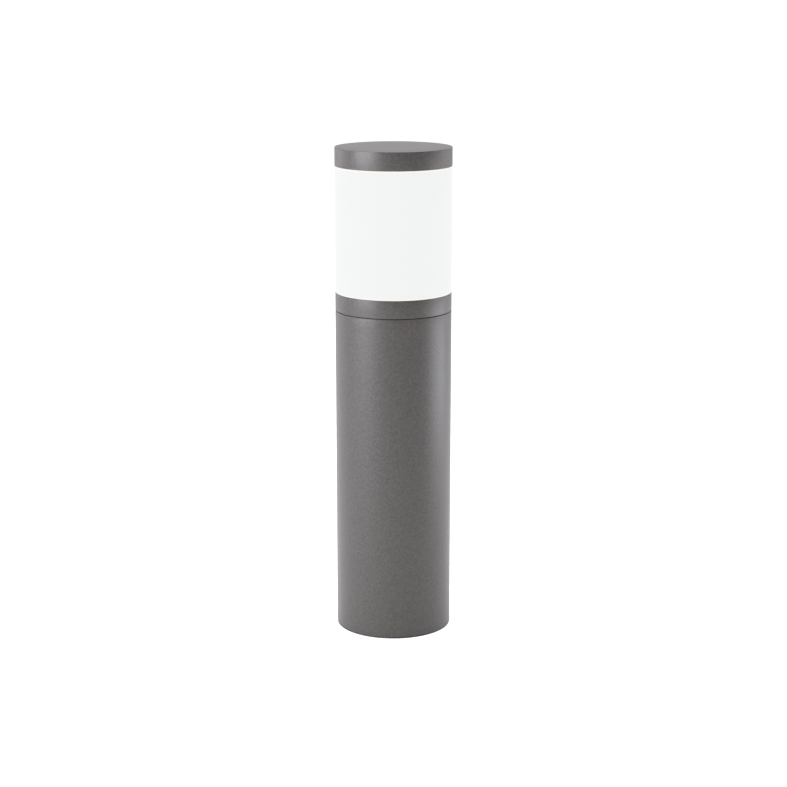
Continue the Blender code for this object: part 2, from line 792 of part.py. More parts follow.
def build_gland(finish, head):
    """The gland that carries the LED lead through the floor."""
    at = polar(GLAND_CIRCLE, GLAND_ANGLE)
    under = FLOOR_BOTTOM - CLEAR
    hexagon_low, body_low = under - 5, under - 12
    shape = shifted(prism(hexagon(GLAND_FLATS), hexagon_low, under), *at)
    body = add("gland_body", shape, finish["polyamide"], head)
    join(body, rod(GLAND_THREAD, body_low, FLOOR_TOP + 7, at, 24))
    cut(body, rod(LEAD_BORE, body_low - 1, FLOOR_TOP + 8, at))

    high = hexagon_low - CLEAR
    low = high - 12
    dome = [(0, low), (6.5, low), (9.6, low + 4), (9.6, high), (0, high)]
    cap = add("gland_cap", turned(dome, 12, at), finish["polyamide"], head)
    cut(cap, rod(GLAND_THREAD + 0.5, body_low - CLEAR, high + 1, at, 24))
    cut(cap, rod(LEAD_BORE, low - 1, high, at))
    low = FLOOR_TOP + CLEAR
    add_nut("gland_locknut", GLAND_FLATS, GLAND_HOLE, low, low + 4, finish["polyamide"], head, at)


# The gear


def through_web(radius, x, z):
    """A rod that passes through the tray's web, along Y."""
    level = transformed(rod(radius, -6, 6), Matrix.Rotation(math.pi / 2, 4, "X"))
    return shifted(level, x, TRAY_WEB_FRONT, z)


def gear_screw():
    """The M4 screw that fastens gear to the tray."""
    return head_screw(M4_SHANK, 6, M4_HEAD, 2.6, 2.5)


def build_tray(finish, head):
    """The folded gear tray and the screws that hang it from the head's floor and earth it."""
    back = TRAY_WEB_FRONT + TRAY_SHEET
    wide = (-TRAY_HALF_WIDTH, TRAY_HALF_WIDTH)
    web = block(wide, (TRAY_WEB_FRONT, back), (TRAY_BOTTOM, TRAY_TOP))
    tray = add("gear_tray", web, finish["zinc"], head)
    for side in (-1, 1):
        edge, inside = side * TRAY_HALF_WIDTH, side * (TRAY_HALF_WIDTH - TRAY_SHEET)
        join(tray, block(sorted((edge, inside)), (TRAY_SIDE_FRONT, back), (TRAY_BOTTOM, TRAY_TOP)))
    tab_low, (tab_half, tab_back) = TRAY_TOP - TRAY_SHEET, TRAY_TAB
    join(tray, block((-tab_half, tab_half), (TRAY_WEB_FRONT, tab_back), (tab_low, TRAY_TOP)))
    screw_x, screw_y = TRAY_SCREW_AT
    screw = head_screw(M4_SHANK, 7.5, M4_HEAD, 4.0, 3.0)
    for number, side in enumerate((-1, 1), 1):
        cut(tray, rod(M4_CLEAR, tab_low - 1, TRAY_TOP + 1, (side * screw_x, screw_y)))
        at = (side * screw_x, screw_y, tab_low - CLEAR)
        add(f"tray_screw_{number}", screw, finish["steel"], head, at, (math.pi, 0, 0))
    for z in DRIVER_SCREW_HEIGHTS:
        cut(tray, through_web(M4_TAPPED, 0, z))
    cut(tray, through_web(M4_TAPPED, *EARTH_SCREW_AT), through_web(8, 0, DRIVER_TOP + 30))
    at = (EARTH_SCREW_AT[0], TRAY_WEB_FRONT - CLEAR, EARTH_SCREW_AT[1])
    add("tray_earth_screw", gear_screw(), finish["steel"], head, at, (math.pi / 2, 0, 0))


def build_driver(finish, head):
    """The LED driver: a ribbed case on a foot plate, a cover at each end and two screws."""
    back = TRAY_WEB_FRONT - CLEAR
    plate_front, front, half = back - DRIVER_PLATE, back - DRIVER_HEIGHT, DRIVER_HALF_WIDTH
    case_low, case_high = DRIVER_BOTTOM + DRIVER_COVER, DRIVER_TOP - DRIVER_COVER
    groove, depth = RIB_GROOVE
    outline = [(half, plate_front + 0.5), (half, front)]
    for number in range(4, -5, -1):
        right, left = number * RIB_PITCH + groove / 2, number * RIB_PITCH - groove / 2
        outline += [(right, front), (right, front + depth), (left, front + depth), (left, front)]
    outline += [(-half, front), (-half, plate_front + 0.5)]
    case = add("driver_case", prism(outline, case_low, case_high), finish["extruded"], head)
    plate = (DRIVER_BOTTOM - DRIVER_TAB, DRIVER_TOP + DRIVER_TAB)
    join(case, block((-half, half), (plate_front, back), plate))

    for name, z in zip(("bottom", "top"), DRIVER_SCREW_HEIGHTS):
        cut(case, through_web(M4_CLEAR, 0, z))
        at = (0, plate_front - CLEAR, z)
        add(f"driver_screw_{name}", gear_screw(), finish["steel"], head, at, (math.pi / 2, 0, 0))

    for name, low, high in (
        ("bottom", DRIVER_BOTTOM, case_low - CLEAR),
        ("top", case_high + CLEAR, DRIVER_TOP),
    ):
        shape = block((0.2 - half, half - 0.2), (front, plate_front - CLEAR), (low, high))
        soften(add(f"driver_cover_{name}", shape, finish["black_polyamide"], head), 1.5)


def swinging(outline, half_width):
    """A lever over a (y, z) outline, centred across X on its pivot."""
    turn = Matrix(((0, 0, 1, 0), (1, 0, 0, 0), (0, 1, 0, 0), (0, 0, 0, 1)))
    return transformed(prism(outline, -half_width, half_width), turn)


def build_terminals(finish, head):
    """The three-pole terminal block and its levers. Each lever has its origin on its pivot."""
    low, high = TERMINAL_BOTTOM, TERMINAL_TOP
    back = TRAY_WEB_FRONT - CLEAR
    front = back - 21.7
    pivot_y, pivot_z = front + 1.75, high - 4.3
    slot, lever_half, axle = 4.3, 3.9, 0.85
    ends = (TERMINAL_FIRST - 5, TERMINAL_FIRST + 2 * LEVER_PITCH + 5)
    terminal = add("terminal_block", block(ends, (front, back), (low, high)), finish["polyamide"], head)
    centres = [TERMINAL_FIRST + number * LEVER_PITCH for number in range(3)]
    for x in centres:
        well = block((x - slot, x + slot), (front - 1, front + 3.6), (pivot_z - 19, pivot_z + 2.1))
        cut(terminal, well, rod(1.8, low - 1, low + 10, (x, WIRE_Y), 12))
    axle_hole = along_x(rod(axle + 0.35, centres[0] - slot - 0.5, centres[-1] + slot + 0.5, segments=12))
    cut(terminal, shifted(axle_hole, 0, pivot_y, pivot_z))

    bar = [(-1.5, 0), (-1.5, -15.5), (-2.6, -17), (-1.1, -17), (1.5, -15.5), (1.5, 0)]
    for number, x in enumerate(centres, 1):
        at = (x, pivot_y, pivot_z)
        lever = add(f"terminal_lever_{number}", swinging(bar, lever_half), finish["orange"], head, at)
        join(lever, along_x(rod(1.55, -lever_half, lever_half, segments=12)))
        join(lever, along_x(rod(axle, -slot - 0.15, slot + 0.15, segments=10)))


def build_fuse(finish, head):
    """The fuse terminal: a base with two cheeks, a swinging fuse lever and the cartridge in it."""
    low, high = TERMINAL_BOTTOM - 4, TERMINAL_TOP + 2
    (x0, x1), back = FUSE_SIDES, TRAY_WEB_FRONT - CLEAR
    front = back - 15.2
    middle, cheek = (x0 + x1) / 2, 1.4
    pivot_y, pivot_z = front - 3.3, high - 4
    base = add("fuse_base", block((x0, x1), (front, back), (low, high)), finish["polyamide"], head)
    for side in ((x0, x0 + cheek), (x1 - cheek, x1)):
        join(base, block(side, (front - 6.6, front + 1), (pivot_z - 5, high)))
    cut(base, shifted(along_x(rod(1.5, x0 - 1, x1 + 1, segments=12)), 0, pivot_y, pivot_z))

    half = (x1 - x0) / 2 - cheek - CLEAR
    body = [(3, 0), (3, -28), (-7, -28), (-9, -26.5), (-7, -24), (-7, -4), (-3, 0)]
    at = (middle, pivot_y, pivot_z)
    lever = add("fuse_lever", swinging(body, half), finish["black_polyamide"], head, at)
    join(lever, along_x(rod(3.0, -half, half, segments=16)))
    join(lever, along_x(rod(1.2, -half - 1.1, half + 1.1, segments=12)))
    cut(lever, block((-3.0, 3.0), (-3.3, 4), (-25.3, -4.7)))

    end_cap, glass = 2.6, 2.45
    ends = [(0, 0), (end_cap, 0), (end_cap, 5), (glass, 5)]
    profile = [*ends, *((r, 20 - z) for r, z in reversed(ends))]
    at = (middle, pivot_y - 0.3, pivot_z - 25)
    add("fuse_cartridge", turned(profile, 16), finish["glass"], head, at)


def build_leads(finish, head):
    """The leads that the head holds all the way, each along its own route."""
    top, floor, bottom = DRIVER_TOP + CLEAR, FLOOR_BOTTOM, TERMINAL_BOTTOM

    def outwards(distance, z):
        """A place at that distance from the axis, on the gland's side."""
        return (*polar(distance, GLAND_ANGLE), z)

    led_route = [
        (-14, 6, top),
        (-14, 5.5, top + 5),
        (-18, 0, top + 11),
        (-27, -12, top + 18),
        outwards(GLAND_CIRCLE, floor - 25),
        outwards(GLAND_CIRCLE, floor - 19),
        outwards(GLAND_CIRCLE, floor),
        outwards(GLAND_CIRCLE, floor + 17),
        outwards(GLAND_CIRCLE - 1, floor + 26),
        outwards(31.5, floor + 34),
        outwards(30.4, floor + 42),
    ]
    supply_route = [
        (-17, 12, TERMINAL_TOP + CLEAR),
        (-17, 11.5, TERMINAL_TOP + 8),
        (-13, 8, TERMINAL_TOP + 18),
        (-8, 6, TERMINAL_TOP + 31),
        (-8, 6, DRIVER_BOTTOM - CLEAR),
    ]
    fuse_route = [
        (13, 14, bottom - 4 - CLEAR),
        (13, 14, bottom - 9),
        (8, 13, bottom - 15),
        (0, 12.5, bottom - 16),
        (-6.5, WIRE_Y, bottom - 11),
        (-7, WIRE_Y, bottom - 5),
        (-7, WIRE_Y, bottom + 2),
    ]
    earth_route = [
        (-17, WIRE_Y, bottom + 2),
        (-17, WIRE_Y, bottom - 8),
        (-12, 13, bottom - 20),
        (0, 16, bottom - 27),
        (12, 20, bottom - 28),
        (19.5, 21.5, EARTH_SCREW_AT[1]),
    ]
    for name, route, radius, colour in (
        ("led_lead", led_route, 2.4, "sheath"),
        ("supply_lead", supply_route, 3.0, "sheath"),
        ("fuse_lead", fuse_route, 1.4, "line"),
        ("earth_lead", earth_route, 1.4, "earth"),
    ):
        add_lead(name, route, radius, finish[colour], head)


def main():
    """Clears the scene and builds the whole bollard."""
    for obj in list(bpy.data.objects):
        bpy.data.objects.remove(obj)
    finish = make_materials()
    build_tube(finish)
    build_foot(finish)
    build_collar(finish)
    build_lock_screws(finish)
    head = empty("head_assembly")
    build_head_base(finish, head)
    build_spigot(finish, head)
    build_chamber(finish, head)
    build_led_column(finish, head)
    build_gland(finish, head)
    build_tray(finish, head)
    build_driver(finish, head)
    build_terminals(finish, head)
    build_fuse(finish, head)
    build_leads(finish, head)


main()
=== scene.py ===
"""The finished look of a pathway bollard light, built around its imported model.

Every sub-assembly is a class. It takes its places from the frame, makes a fine mesh for every
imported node, and dresses each in a procedural finish. The sizes of pieces, in the sub-assemblies'
fields and in outlines, are millimetres. Everything else is metres where nothing else is said.
"""

import json
import logging
import math
from contextlib import contextmanager
from dataclasses import dataclass
from enum import Enum
from typing import Any, Callable, Iterable, Iterator, Sequence

import bmesh
import bpy
from mathutils import Matrix, Vector


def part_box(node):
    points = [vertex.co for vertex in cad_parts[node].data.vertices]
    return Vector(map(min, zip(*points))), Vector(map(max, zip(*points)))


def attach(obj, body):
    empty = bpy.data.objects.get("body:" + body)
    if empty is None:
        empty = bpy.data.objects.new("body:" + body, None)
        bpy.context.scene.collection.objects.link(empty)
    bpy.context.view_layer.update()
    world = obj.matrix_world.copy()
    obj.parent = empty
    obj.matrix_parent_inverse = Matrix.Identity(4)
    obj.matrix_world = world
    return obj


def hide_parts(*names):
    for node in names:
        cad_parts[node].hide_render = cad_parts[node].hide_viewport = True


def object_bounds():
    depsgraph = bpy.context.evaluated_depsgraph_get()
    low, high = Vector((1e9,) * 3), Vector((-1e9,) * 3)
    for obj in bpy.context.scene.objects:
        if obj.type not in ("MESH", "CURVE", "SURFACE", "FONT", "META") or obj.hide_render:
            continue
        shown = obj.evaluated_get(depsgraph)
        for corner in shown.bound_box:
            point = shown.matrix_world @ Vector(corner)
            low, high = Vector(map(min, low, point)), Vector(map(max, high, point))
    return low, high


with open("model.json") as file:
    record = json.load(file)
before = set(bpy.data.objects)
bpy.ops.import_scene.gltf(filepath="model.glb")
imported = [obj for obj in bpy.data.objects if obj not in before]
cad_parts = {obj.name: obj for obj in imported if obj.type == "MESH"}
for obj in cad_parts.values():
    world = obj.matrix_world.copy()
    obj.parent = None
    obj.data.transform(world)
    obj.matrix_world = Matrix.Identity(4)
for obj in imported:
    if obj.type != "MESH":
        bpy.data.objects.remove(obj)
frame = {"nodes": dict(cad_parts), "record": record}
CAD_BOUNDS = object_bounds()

LOG = logging.getLogger("bollard")
MM = 0.001
GAP = 0.3  # the clearance in millimetres between pieces that touch
SHARP_ANGLE = math.radians(32)
BEVEL_ANGLE = math.radians(40)  # edges sharper than this are rounded
FLAT_ANGLE = math.radians(1)  # faces closer to flat than this are joined
SAME_PLACE = 0.002 * MM  # points closer than this are one
CAD_SAME_PLACE = 0.005 * MM  # the same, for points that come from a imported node
CUTTER_TURN = math.radians(3.7)  # keeps a cutter's corners off those of what it cuts
FINE = 240  # sides of the large round pieces that show
INNER = 144  # sides of the round pieces inside
MEDIUM = 48  # sides of the gland's hole
SMALL = 32  # sides of screws and small holes

Corner = tuple[float, float, float]  # distance from the axis, height, rounding radius
Colour = tuple[float, float, float]
Triple = tuple[float, float, float]


# Shader maths


class Value:
    """A number socket of a shader, on which maths is written with Python's operators."""

    def __init__(self, graph: "Graph", socket: bpy.types.NodeSocket) -> None:
        """Wraps a socket.

        Args:
            graph: The graph that new Math nodes go into.
            socket: The output socket that carries the number.
        """
        self.graph = graph
        self.socket = socket

    def maths(self, operation: str, *operands: "Value | float") -> "Value":
        """Adds one Math node.

        Args:
            operation: The Math node's operation.
            operands: What its sockets take, in order.

        Returns:
            The node's result.
        """
        node = self.graph.node("ShaderNodeMath", {"operation": operation}, dict(enumerate(operands)))
        return Value(self.graph, node.outputs[0])

    def __add__(self, other: "Value | float") -> "Value":
        """self + other."""
        return self.maths("ADD", self, other)

    __radd__ = __add__

    def __sub__(self, other: "Value | float") -> "Value":
        """self - other."""
        return self.maths("SUBTRACT", self, other)

    def __rsub__(self, other: float) -> "Value":
        """other - self."""
        return self.maths("SUBTRACT", other, self)

    def __mul__(self, other: "Value | float") -> "Value":
        """self * other."""
        return self.maths("MULTIPLY", self, other)

    __rmul__ = __mul__

    def __truediv__(self, other: "Value | float") -> "Value":
        """self / other."""
        return self.maths("DIVIDE", self, other)

    def smallest(self, other: "Value | float") -> "Value":
        """The smaller of the two."""
        return self.maths("MINIMUM", self, other)

    def clamped(self) -> "Value":
        """The value held between 0 and 1."""
        return self.maths("MINIMUM", self.maths("MAXIMUM", self, 0.0), 1.0)

    def fraction(self) -> "Value":
        """The part after the decimal point."""
        return self.maths("FRACT", self)

    def above(self, limit: float) -> "Value":
        """1 where the value is over the limit, and 0 elsewhere."""
        return self.maths("GREATER_THAN", self, limit)


class Graph:
    """A node tree that nodes are added to by type, settings and inputs."""

    def __init__(self, tree: bpy.types.NodeTree) -> None:
        """Takes the tree to build in."""
        self.tree = tree

    def node(
        self, kind: str, settings: dict[str, Any] | None = None, inputs: dict[Any, Any] | None = None
    ) -> bpy.types.Node:
        """Adds a node.

        Args:
            kind: The node's type.
            settings: Its properties, set first. "stops" holds a ramp's (place, colour) pairs.
            inputs: A value, a socket or a Value for each of its sockets, by name or number.

        Returns:
            The new node.
        """
        node = self.tree.nodes.new(kind)
        for name, value in (settings or {}).items():
            if name != "stops":
                setattr(node, name, value)
                continue
            ramp = node.color_ramp
            while len(ramp.elements) < len(value):
                ramp.elements.new(1.0)
            for element, (place, colour) in zip(ramp.elements, value):
                element.position, element.color = place, (*colour, 1.0)
        for name, value in (inputs or {}).items():
            self.feed(node.inputs[name], value)
        return node

    def feed(self, target: bpy.types.NodeSocket, value: Any) -> None:
        """Links a value into a socket, or sets it on the socket where it's a constant.

        Args:
            target: The input socket.
            value: A constant, a socket or a Value.
        """
        if isinstance(value, Value):
            value = value.socket
        if isinstance(value, bpy.types.NodeSocket):
            self.tree.links.new(value, target)
        else:
            target.default_value = value


class Shader(Graph):
    """A material's graph, with the patterns that the finishes share."""

    def __init__(self, name: str) -> None:
        """Makes a material with one Principled shader.

        Args:
            name: The material's name.
        """
        self.material = bpy.data.materials.new(name)
        self.material.use_nodes = True
        super().__init__(self.material.node_tree)
        self.principled = self.tree.nodes["Principled BSDF"]
        self.places = self.node("ShaderNodeTexCoord").outputs["Object"]

    def set(self, **values: Any) -> None:
        """Sets the shader's own sockets.

        Args:
            values: A value or a link for each socket, by its name with underscores for spaces.
        """
        for name, value in values.items():
            self.feed(self.principled.inputs[name.replace("_", " ")], value)

    def along(self, axis: str) -> Value:
        """The place along X, Y or Z, in metres."""
        split = self.node("ShaderNodeSeparateXYZ", inputs={"Vector": self.places})
        return Value(self, split.outputs[axis])

    def noise(self, scale: float, detail: float = 3.0, stretch: Triple = (1, 1, 1)) -> Value:
        """Cloudy noise.

        Args:
            scale: Cells per metre.
            detail: How many finer layers are added.
            stretch: How the pattern is scaled along each axis first.

        Returns:
            The noise, about 0.5 on average.
        """
        mapping = self.node("ShaderNodeMapping", inputs={"Vector": self.places, "Scale": stretch})
        inputs = {"Vector": mapping.outputs[0], "Scale": scale, "Detail": detail}
        return Value(self, self.node("ShaderNodeTexNoise", inputs=inputs).outputs[0])

    def cells(self, scale: float) -> Value:
        """A random grey for each small cell, such as a flake or a crystal.

        Args:
            scale: Cells per metre.

        Returns:
            The cells' greys, from 0 to 1.
        """
        inputs = {"Vector": self.places, "Scale": scale}
        colour = self.node("ShaderNodeTexVoronoi", inputs=inputs).outputs["Color"]
        split = self.node("ShaderNodeSeparateColor", inputs={0: colour})
        return Value(self, split.outputs[0])

    def blend(self, amount: Value, low: Colour, high: Colour) -> bpy.types.NodeSocket:
        """A colour between two.

        Args:
            amount: 0 for the first colour, 1 for the second.
            low: The first colour.
            high: The second colour.

        Returns:
            The blended colour's socket.
        """
        stops = [(0.0, low), (1.0, high)]
        return self.node("ShaderNodeValToRGB", {"stops": stops}, {"Fac": amount}).outputs["Color"]

    def bump(self, height: Value, depth: float, strength: float = 1.0) -> None:
        """Feeds a height into the shader's normal, its full step that many metres deep."""
        inputs = {"Height": height, "Distance": depth, "Strength": strength}
        self.set(Normal=self.node("ShaderNodeBump", inputs=inputs).outputs["Normal"])


# Finishes


@dataclass(frozen=True)
class Finish:
    """A finish that a piece can wear, with the colours that it varies between."""

    name: str
    dark: Colour
    light: Colour
    roughness: float
    metallic: float = 0.0

    def material(self) -> bpy.types.Material:
        """The finish's material, made once.

        Returns:
            The material.
        """
        made = bpy.data.materials.get(self.name)
        if made is None:
            shader = Shader(self.name)
            shader.set(Metallic=self.metallic)
            self.paint(shader)
            made = shader.material
        return made

    def paint(self, shader: Shader) -> None:
        """Adds the finish's nodes. Each kind of finish has its own."""
        raise NotImplementedError

    def dress(self, shader: Shader, tone: Value, uneven: Value, spread: float) -> None:
        """Sets the colour and the roughness.

        Args:
            shader: The material's graph.
            tone: Where the colour lies, from 0 for dark to 1 for light.
            uneven: What the roughness follows, about 0.5 on average.
            spread: How far the roughness strays from its own value.
        """
        shader.set(Base_Color=shader.blend(tone, self.dark, self.light))
        shader.set(Roughness=(uneven - 0.5) * spread + self.roughness)


@dataclass(frozen=True)
class PowderCoat(Finish):
    """A satin powder coat with a fine texture and sparse bright flake."""

    flake: float = 0.3

    def paint(self, shader: Shader) -> None:
        """Mottles the colour, scatters flake in it and gives it a fine orange peel.

        Args:
            shader: The material's graph.
        """
        mottle = shader.noise(300, 4)
        grain = shader.noise(1300, 2)
        flake = shader.cells(1100).above(0.93) * self.flake
        tone = (mottle * 1.3 + grain * 0.5 - 0.4 + flake).clamped()
        self.dress(shader, tone, mottle, 0.22)
        shader.set(Specular_IOR_Level=0.42)
        shader.bump(mottle * 0.5 + grain * 0.5, 0.12 * MM, 0.55)


@dataclass(frozen=True)
class LitOpal(Finish):
    """Opal acrylic with light behind it, a little warmer and brighter along its two edges."""

    low: float = 0.0
    high: float = 1.0
    core: Colour = (0.5, 0.5, 0.5)
    rim: Colour = (0.5, 0.5, 0.5)
    band: float = 3.0 * MM

    def paint(self, shader: Shader) -> None:
        """Lights the wall, with the rim's colour near each end.

        Args:
            shader: The material's graph.
        """
        height = shader.along("Z")
        distance = (height - self.low).smallest(self.high - height)
        edge = (1.0 - distance / self.band).clamped()
        cloud = shader.noise(14, 2)
        self.dress(shader, cloud, cloud, 0.06)
        shader.set(
            Emission_Color=shader.blend(edge, self.core, self.rim),
            Emission_Strength=1.0,
            Specular_IOR_Level=0.05,
        )


@dataclass(frozen=True)
class Glow(Finish):
    """A light-emitting surface, such as the phosphor of an LED."""

    def paint(self, shader: Shader) -> None:
        """Lights the surface, a little unevenly.

        Args:
            shader: The material's graph.
        """
        tone = shader.noise(900, 2)
        self.dress(shader, tone, tone, 0.1)
        glow = shader.blend(tone, self.dark, self.light)
        shader.set(Emission_Color=glow, Emission_Strength=1.0)


@dataclass(frozen=True)
class Speckled(Finish):
    """Rubber, moulded plastic, paint or a casting, with a fine grain.

    Scale and clouds are cells per metre. Depth is the grain's, in millimetres.
    """

    scale: float = 1500.0
    depth: float = 0.05
    clouds: float = 60.0

    def paint(self, shader: Shader) -> None:
        """Varies the colour in clouds and gives the surface its grain.

        Args:
            shader: The material's graph.
        """
        grain = shader.noise(self.scale, 3)
        clouds = shader.noise(self.clouds, 4)
        tone = (grain * 0.5 + clouds * 0.9 - 0.2).clamped()
        self.dress(shader, tone, clouds, 0.2)
        shader.bump(grain, self.depth * MM, 0.6)


@dataclass(frozen=True)
class Drawn(Finish):
    """Metal with fine lines along one axis, as extruding, drawing or turning leaves them."""

    stretch: Triple = (1.0, 1.0, 0.01)

    def paint(self, shader: Shader) -> None:
        """Draws the lines in colour, roughness and height.

        Args:
            shader: The material's graph.
        """
        lines = shader.noise(1400, 3, self.stretch)
        clouds = shader.noise(40, 3)
        tone = (lines * 0.7 + clouds * 0.6 - 0.15).clamped()
        self.dress(shader, tone, lines, 0.25)
        shader.bump(lines, 0.03 * MM, 0.5)


@dataclass(frozen=True)
class Spangled(Finish):
    """Zinc-plated sheet, with its crystals."""

    def paint(self, shader: Shader) -> None:
        """Gives each crystal its own grey and roughness.

        Args:
            shader: The material's graph.
        """
        crystal = shader.cells(160)
        haze = shader.noise(500, 3)
        tone = (crystal * 0.7 + haze * 0.4 - 0.05).clamped()
        self.dress(shader, tone, crystal, 0.14)
        shader.bump(haze, 0.02 * MM, 0.4)


@dataclass(frozen=True)
class Striped(Finish):
    """Insulation in two colours, in slanting stripes."""

    pitch: float = 3.0 * MM

    def paint(self, shader: Shader) -> None:
        """Alternates the colours along a slanting line.

        Args:
            shader: The material's graph.
        """
        slant = shader.along("X") + shader.along("Z") * 0.6 + shader.along("Y") * 0.4
        stripe = ((slant + 1.0) / self.pitch).fraction().above(0.68)
        grain = shader.noise(900, 2)
        self.dress(shader, stripe, grain, 0.15)
        shader.bump(grain, 0.02 * MM, 0.4)


@dataclass(frozen=True)
class ClearGlass(Finish):
    """Clear glass with a faint tint."""

    def paint(self, shader: Shader) -> None:
        """Lets light through, with a little unevenness in the surface.

        Args:
            shader: The material's graph.
        """
        ripple = shader.noise(120, 2)
        self.dress(shader, ripple, ripple, 0.03)
        shader.set(Transmission_Weight=0.9, IOR=1.47)


LENS_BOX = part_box("diffuser")
COAT = PowderCoat("graphite_powder_coat", (0.0385, 0.0345, 0.0325), (0.0890, 0.0797, 0.0747), 0.42, 0.25)
OPAL = LitOpal(
    "opal_acrylic_lit",
    (0.018, 0.018, 0.018),
    (0.026, 0.026, 0.026),
    0.7,
    low=LENS_BOX[0][2],
    high=LENS_BOX[1][2],
    core=(0.855, 0.86, 0.86),
    rim=(1.0, 0.935, 0.85),
)
PHOSPHOR = Glow("led_phosphor", (0.90, 0.72, 0.38), (1.0, 0.86, 0.55), 0.4)
RUBBER = Speckled("black_rubber", (0.010, 0.010, 0.010), (0.030, 0.030, 0.031), 0.62, scale=1200)
CAST = Speckled("cast_aluminium", (0.24, 0.245, 0.25), (0.38, 0.385, 0.39), 0.48, 0.9, 700, 0.12, 90)
EXTRUDED = Drawn("extruded_aluminium", (0.23, 0.235, 0.24), (0.36, 0.365, 0.37), 0.36, 1.0)
STEEL = Drawn("stainless_steel", (0.32, 0.32, 0.315), (0.48, 0.48, 0.47), 0.30, 1.0, (0.05, 1.0, 1.0))
ZINC = Spangled("zinc_plated_sheet", (0.27, 0.28, 0.29), (0.40, 0.41, 0.42), 0.38, 0.9)
WHITE = Speckled(
    "white_reflector_paint", (0.80, 0.80, 0.79), (0.90, 0.90, 0.89), 0.42, scale=900, depth=0.03
)
MASK = Speckled(
    "white_solder_mask", (0.78, 0.79, 0.77), (0.88, 0.89, 0.87), 0.33, scale=2000, depth=0.01
)
PACKAGE = Speckled("led_package", (0.70, 0.70, 0.68), (0.80, 0.80, 0.78), 0.4, scale=3000, depth=0.01)
GREY = Speckled("grey_polyamide", (0.24, 0.25, 0.26), (0.34, 0.35, 0.36), 0.55, scale=1800)
BLACK = Speckled("black_polyamide", (0.018, 0.018, 0.018), (0.042, 0.042, 0.042), 0.5, scale=1800)
ORANGE = Speckled(
    "orange_lever_plastic", (0.70, 0.17, 0.02), (0.84, 0.25, 0.04), 0.4, scale=2200, depth=0.03
)
SHEATH = Speckled("black_cable_sheath", (0.016, 0.016, 0.018), (0.034, 0.034, 0.036), 0.52, scale=1500)
BROWN = Speckled(
    "brown_insulation", (0.12, 0.045, 0.02), (0.19, 0.075, 0.035), 0.45, scale=1800, depth=0.02
)
EARTH = Striped("green_yellow_insulation", (0.05, 0.30, 0.05), (0.80, 0.66, 0.04), 0.45)
GLASS = ClearGlass("fuse_glass", (0.80, 0.85, 0.85), (0.90, 0.94, 0.94), 0.05)


# Geometry Nodes


class Network(Graph):
    """A Geometry Nodes tree with named inputs."""

    def __init__(self, name: str, inputs: dict[str, tuple[str, Any]]) -> None:
        """Makes the tree and its inputs.

        Args:
            name: The tree's name.
            inputs: Each input's type, after NodeSocket, and its default, by name.
        """
        super().__init__(bpy.data.node_groups.new(name, "GeometryNodeTree"))
        face = self.tree.interface
        face.new_socket("Geometry", in_out="INPUT", socket_type="NodeSocketGeometry")
        for label, (kind, default) in inputs.items():
            socket = face.new_socket(label, in_out="INPUT", socket_type=f"NodeSocket{kind}")
            if default is not None:
                socket.default_value = default
        face.new_socket("Geometry", in_out="OUTPUT", socket_type="NodeSocketGeometry")
        self.given = self.node("NodeGroupInput").outputs

    def close(self, geometry: bpy.types.NodeSocket) -> bpy.types.NodeTree:
        """Realizes what is placed, sets the material and ends the tree.

        Args:
            geometry: What the tree makes.

        Returns:
            The finished tree.
        """
        real = self.node("GeometryNodeRealizeInstances", inputs={"Geometry": geometry}).outputs[0]
        inputs = {"Geometry": real, "Material": self.given["Material"]}
        dressed = self.node("GeometryNodeSetMaterial", inputs=inputs).outputs[0]
        self.node("NodeGroupOutput", inputs={0: dressed})
        return self.tree


def turning_tree() -> bpy.types.NodeTree:
    """A tree that turns an outline about Z. The outline's X is its distance from the circle's radius.

    Returns:
        The tree, with inputs Radius, Sides and Material.
    """
    net = Network(
        "turned_body", {"Radius": ("Float", 0.1), "Sides": ("Int", 64), "Material": ("Material", None)}
    )
    settings = {"Radius": net.given["Radius"], "Resolution": net.given["Sides"]}
    circle = net.node("GeometryNodeCurvePrimitiveCircle", inputs=settings).outputs["Curve"]
    outline = net.node("GeometryNodeMeshToCurve", inputs={"Mesh": net.given["Geometry"]}).outputs[0]
    inputs = {"Curve": circle, "Profile Curve": outline}
    body = net.node("GeometryNodeCurveToMesh", inputs=inputs).outputs[0]
    inputs = {"Geometry": body, "Distance": SAME_PLACE}
    return net.close(net.node("GeometryNodeMergeByDistance", inputs=inputs).outputs[0])


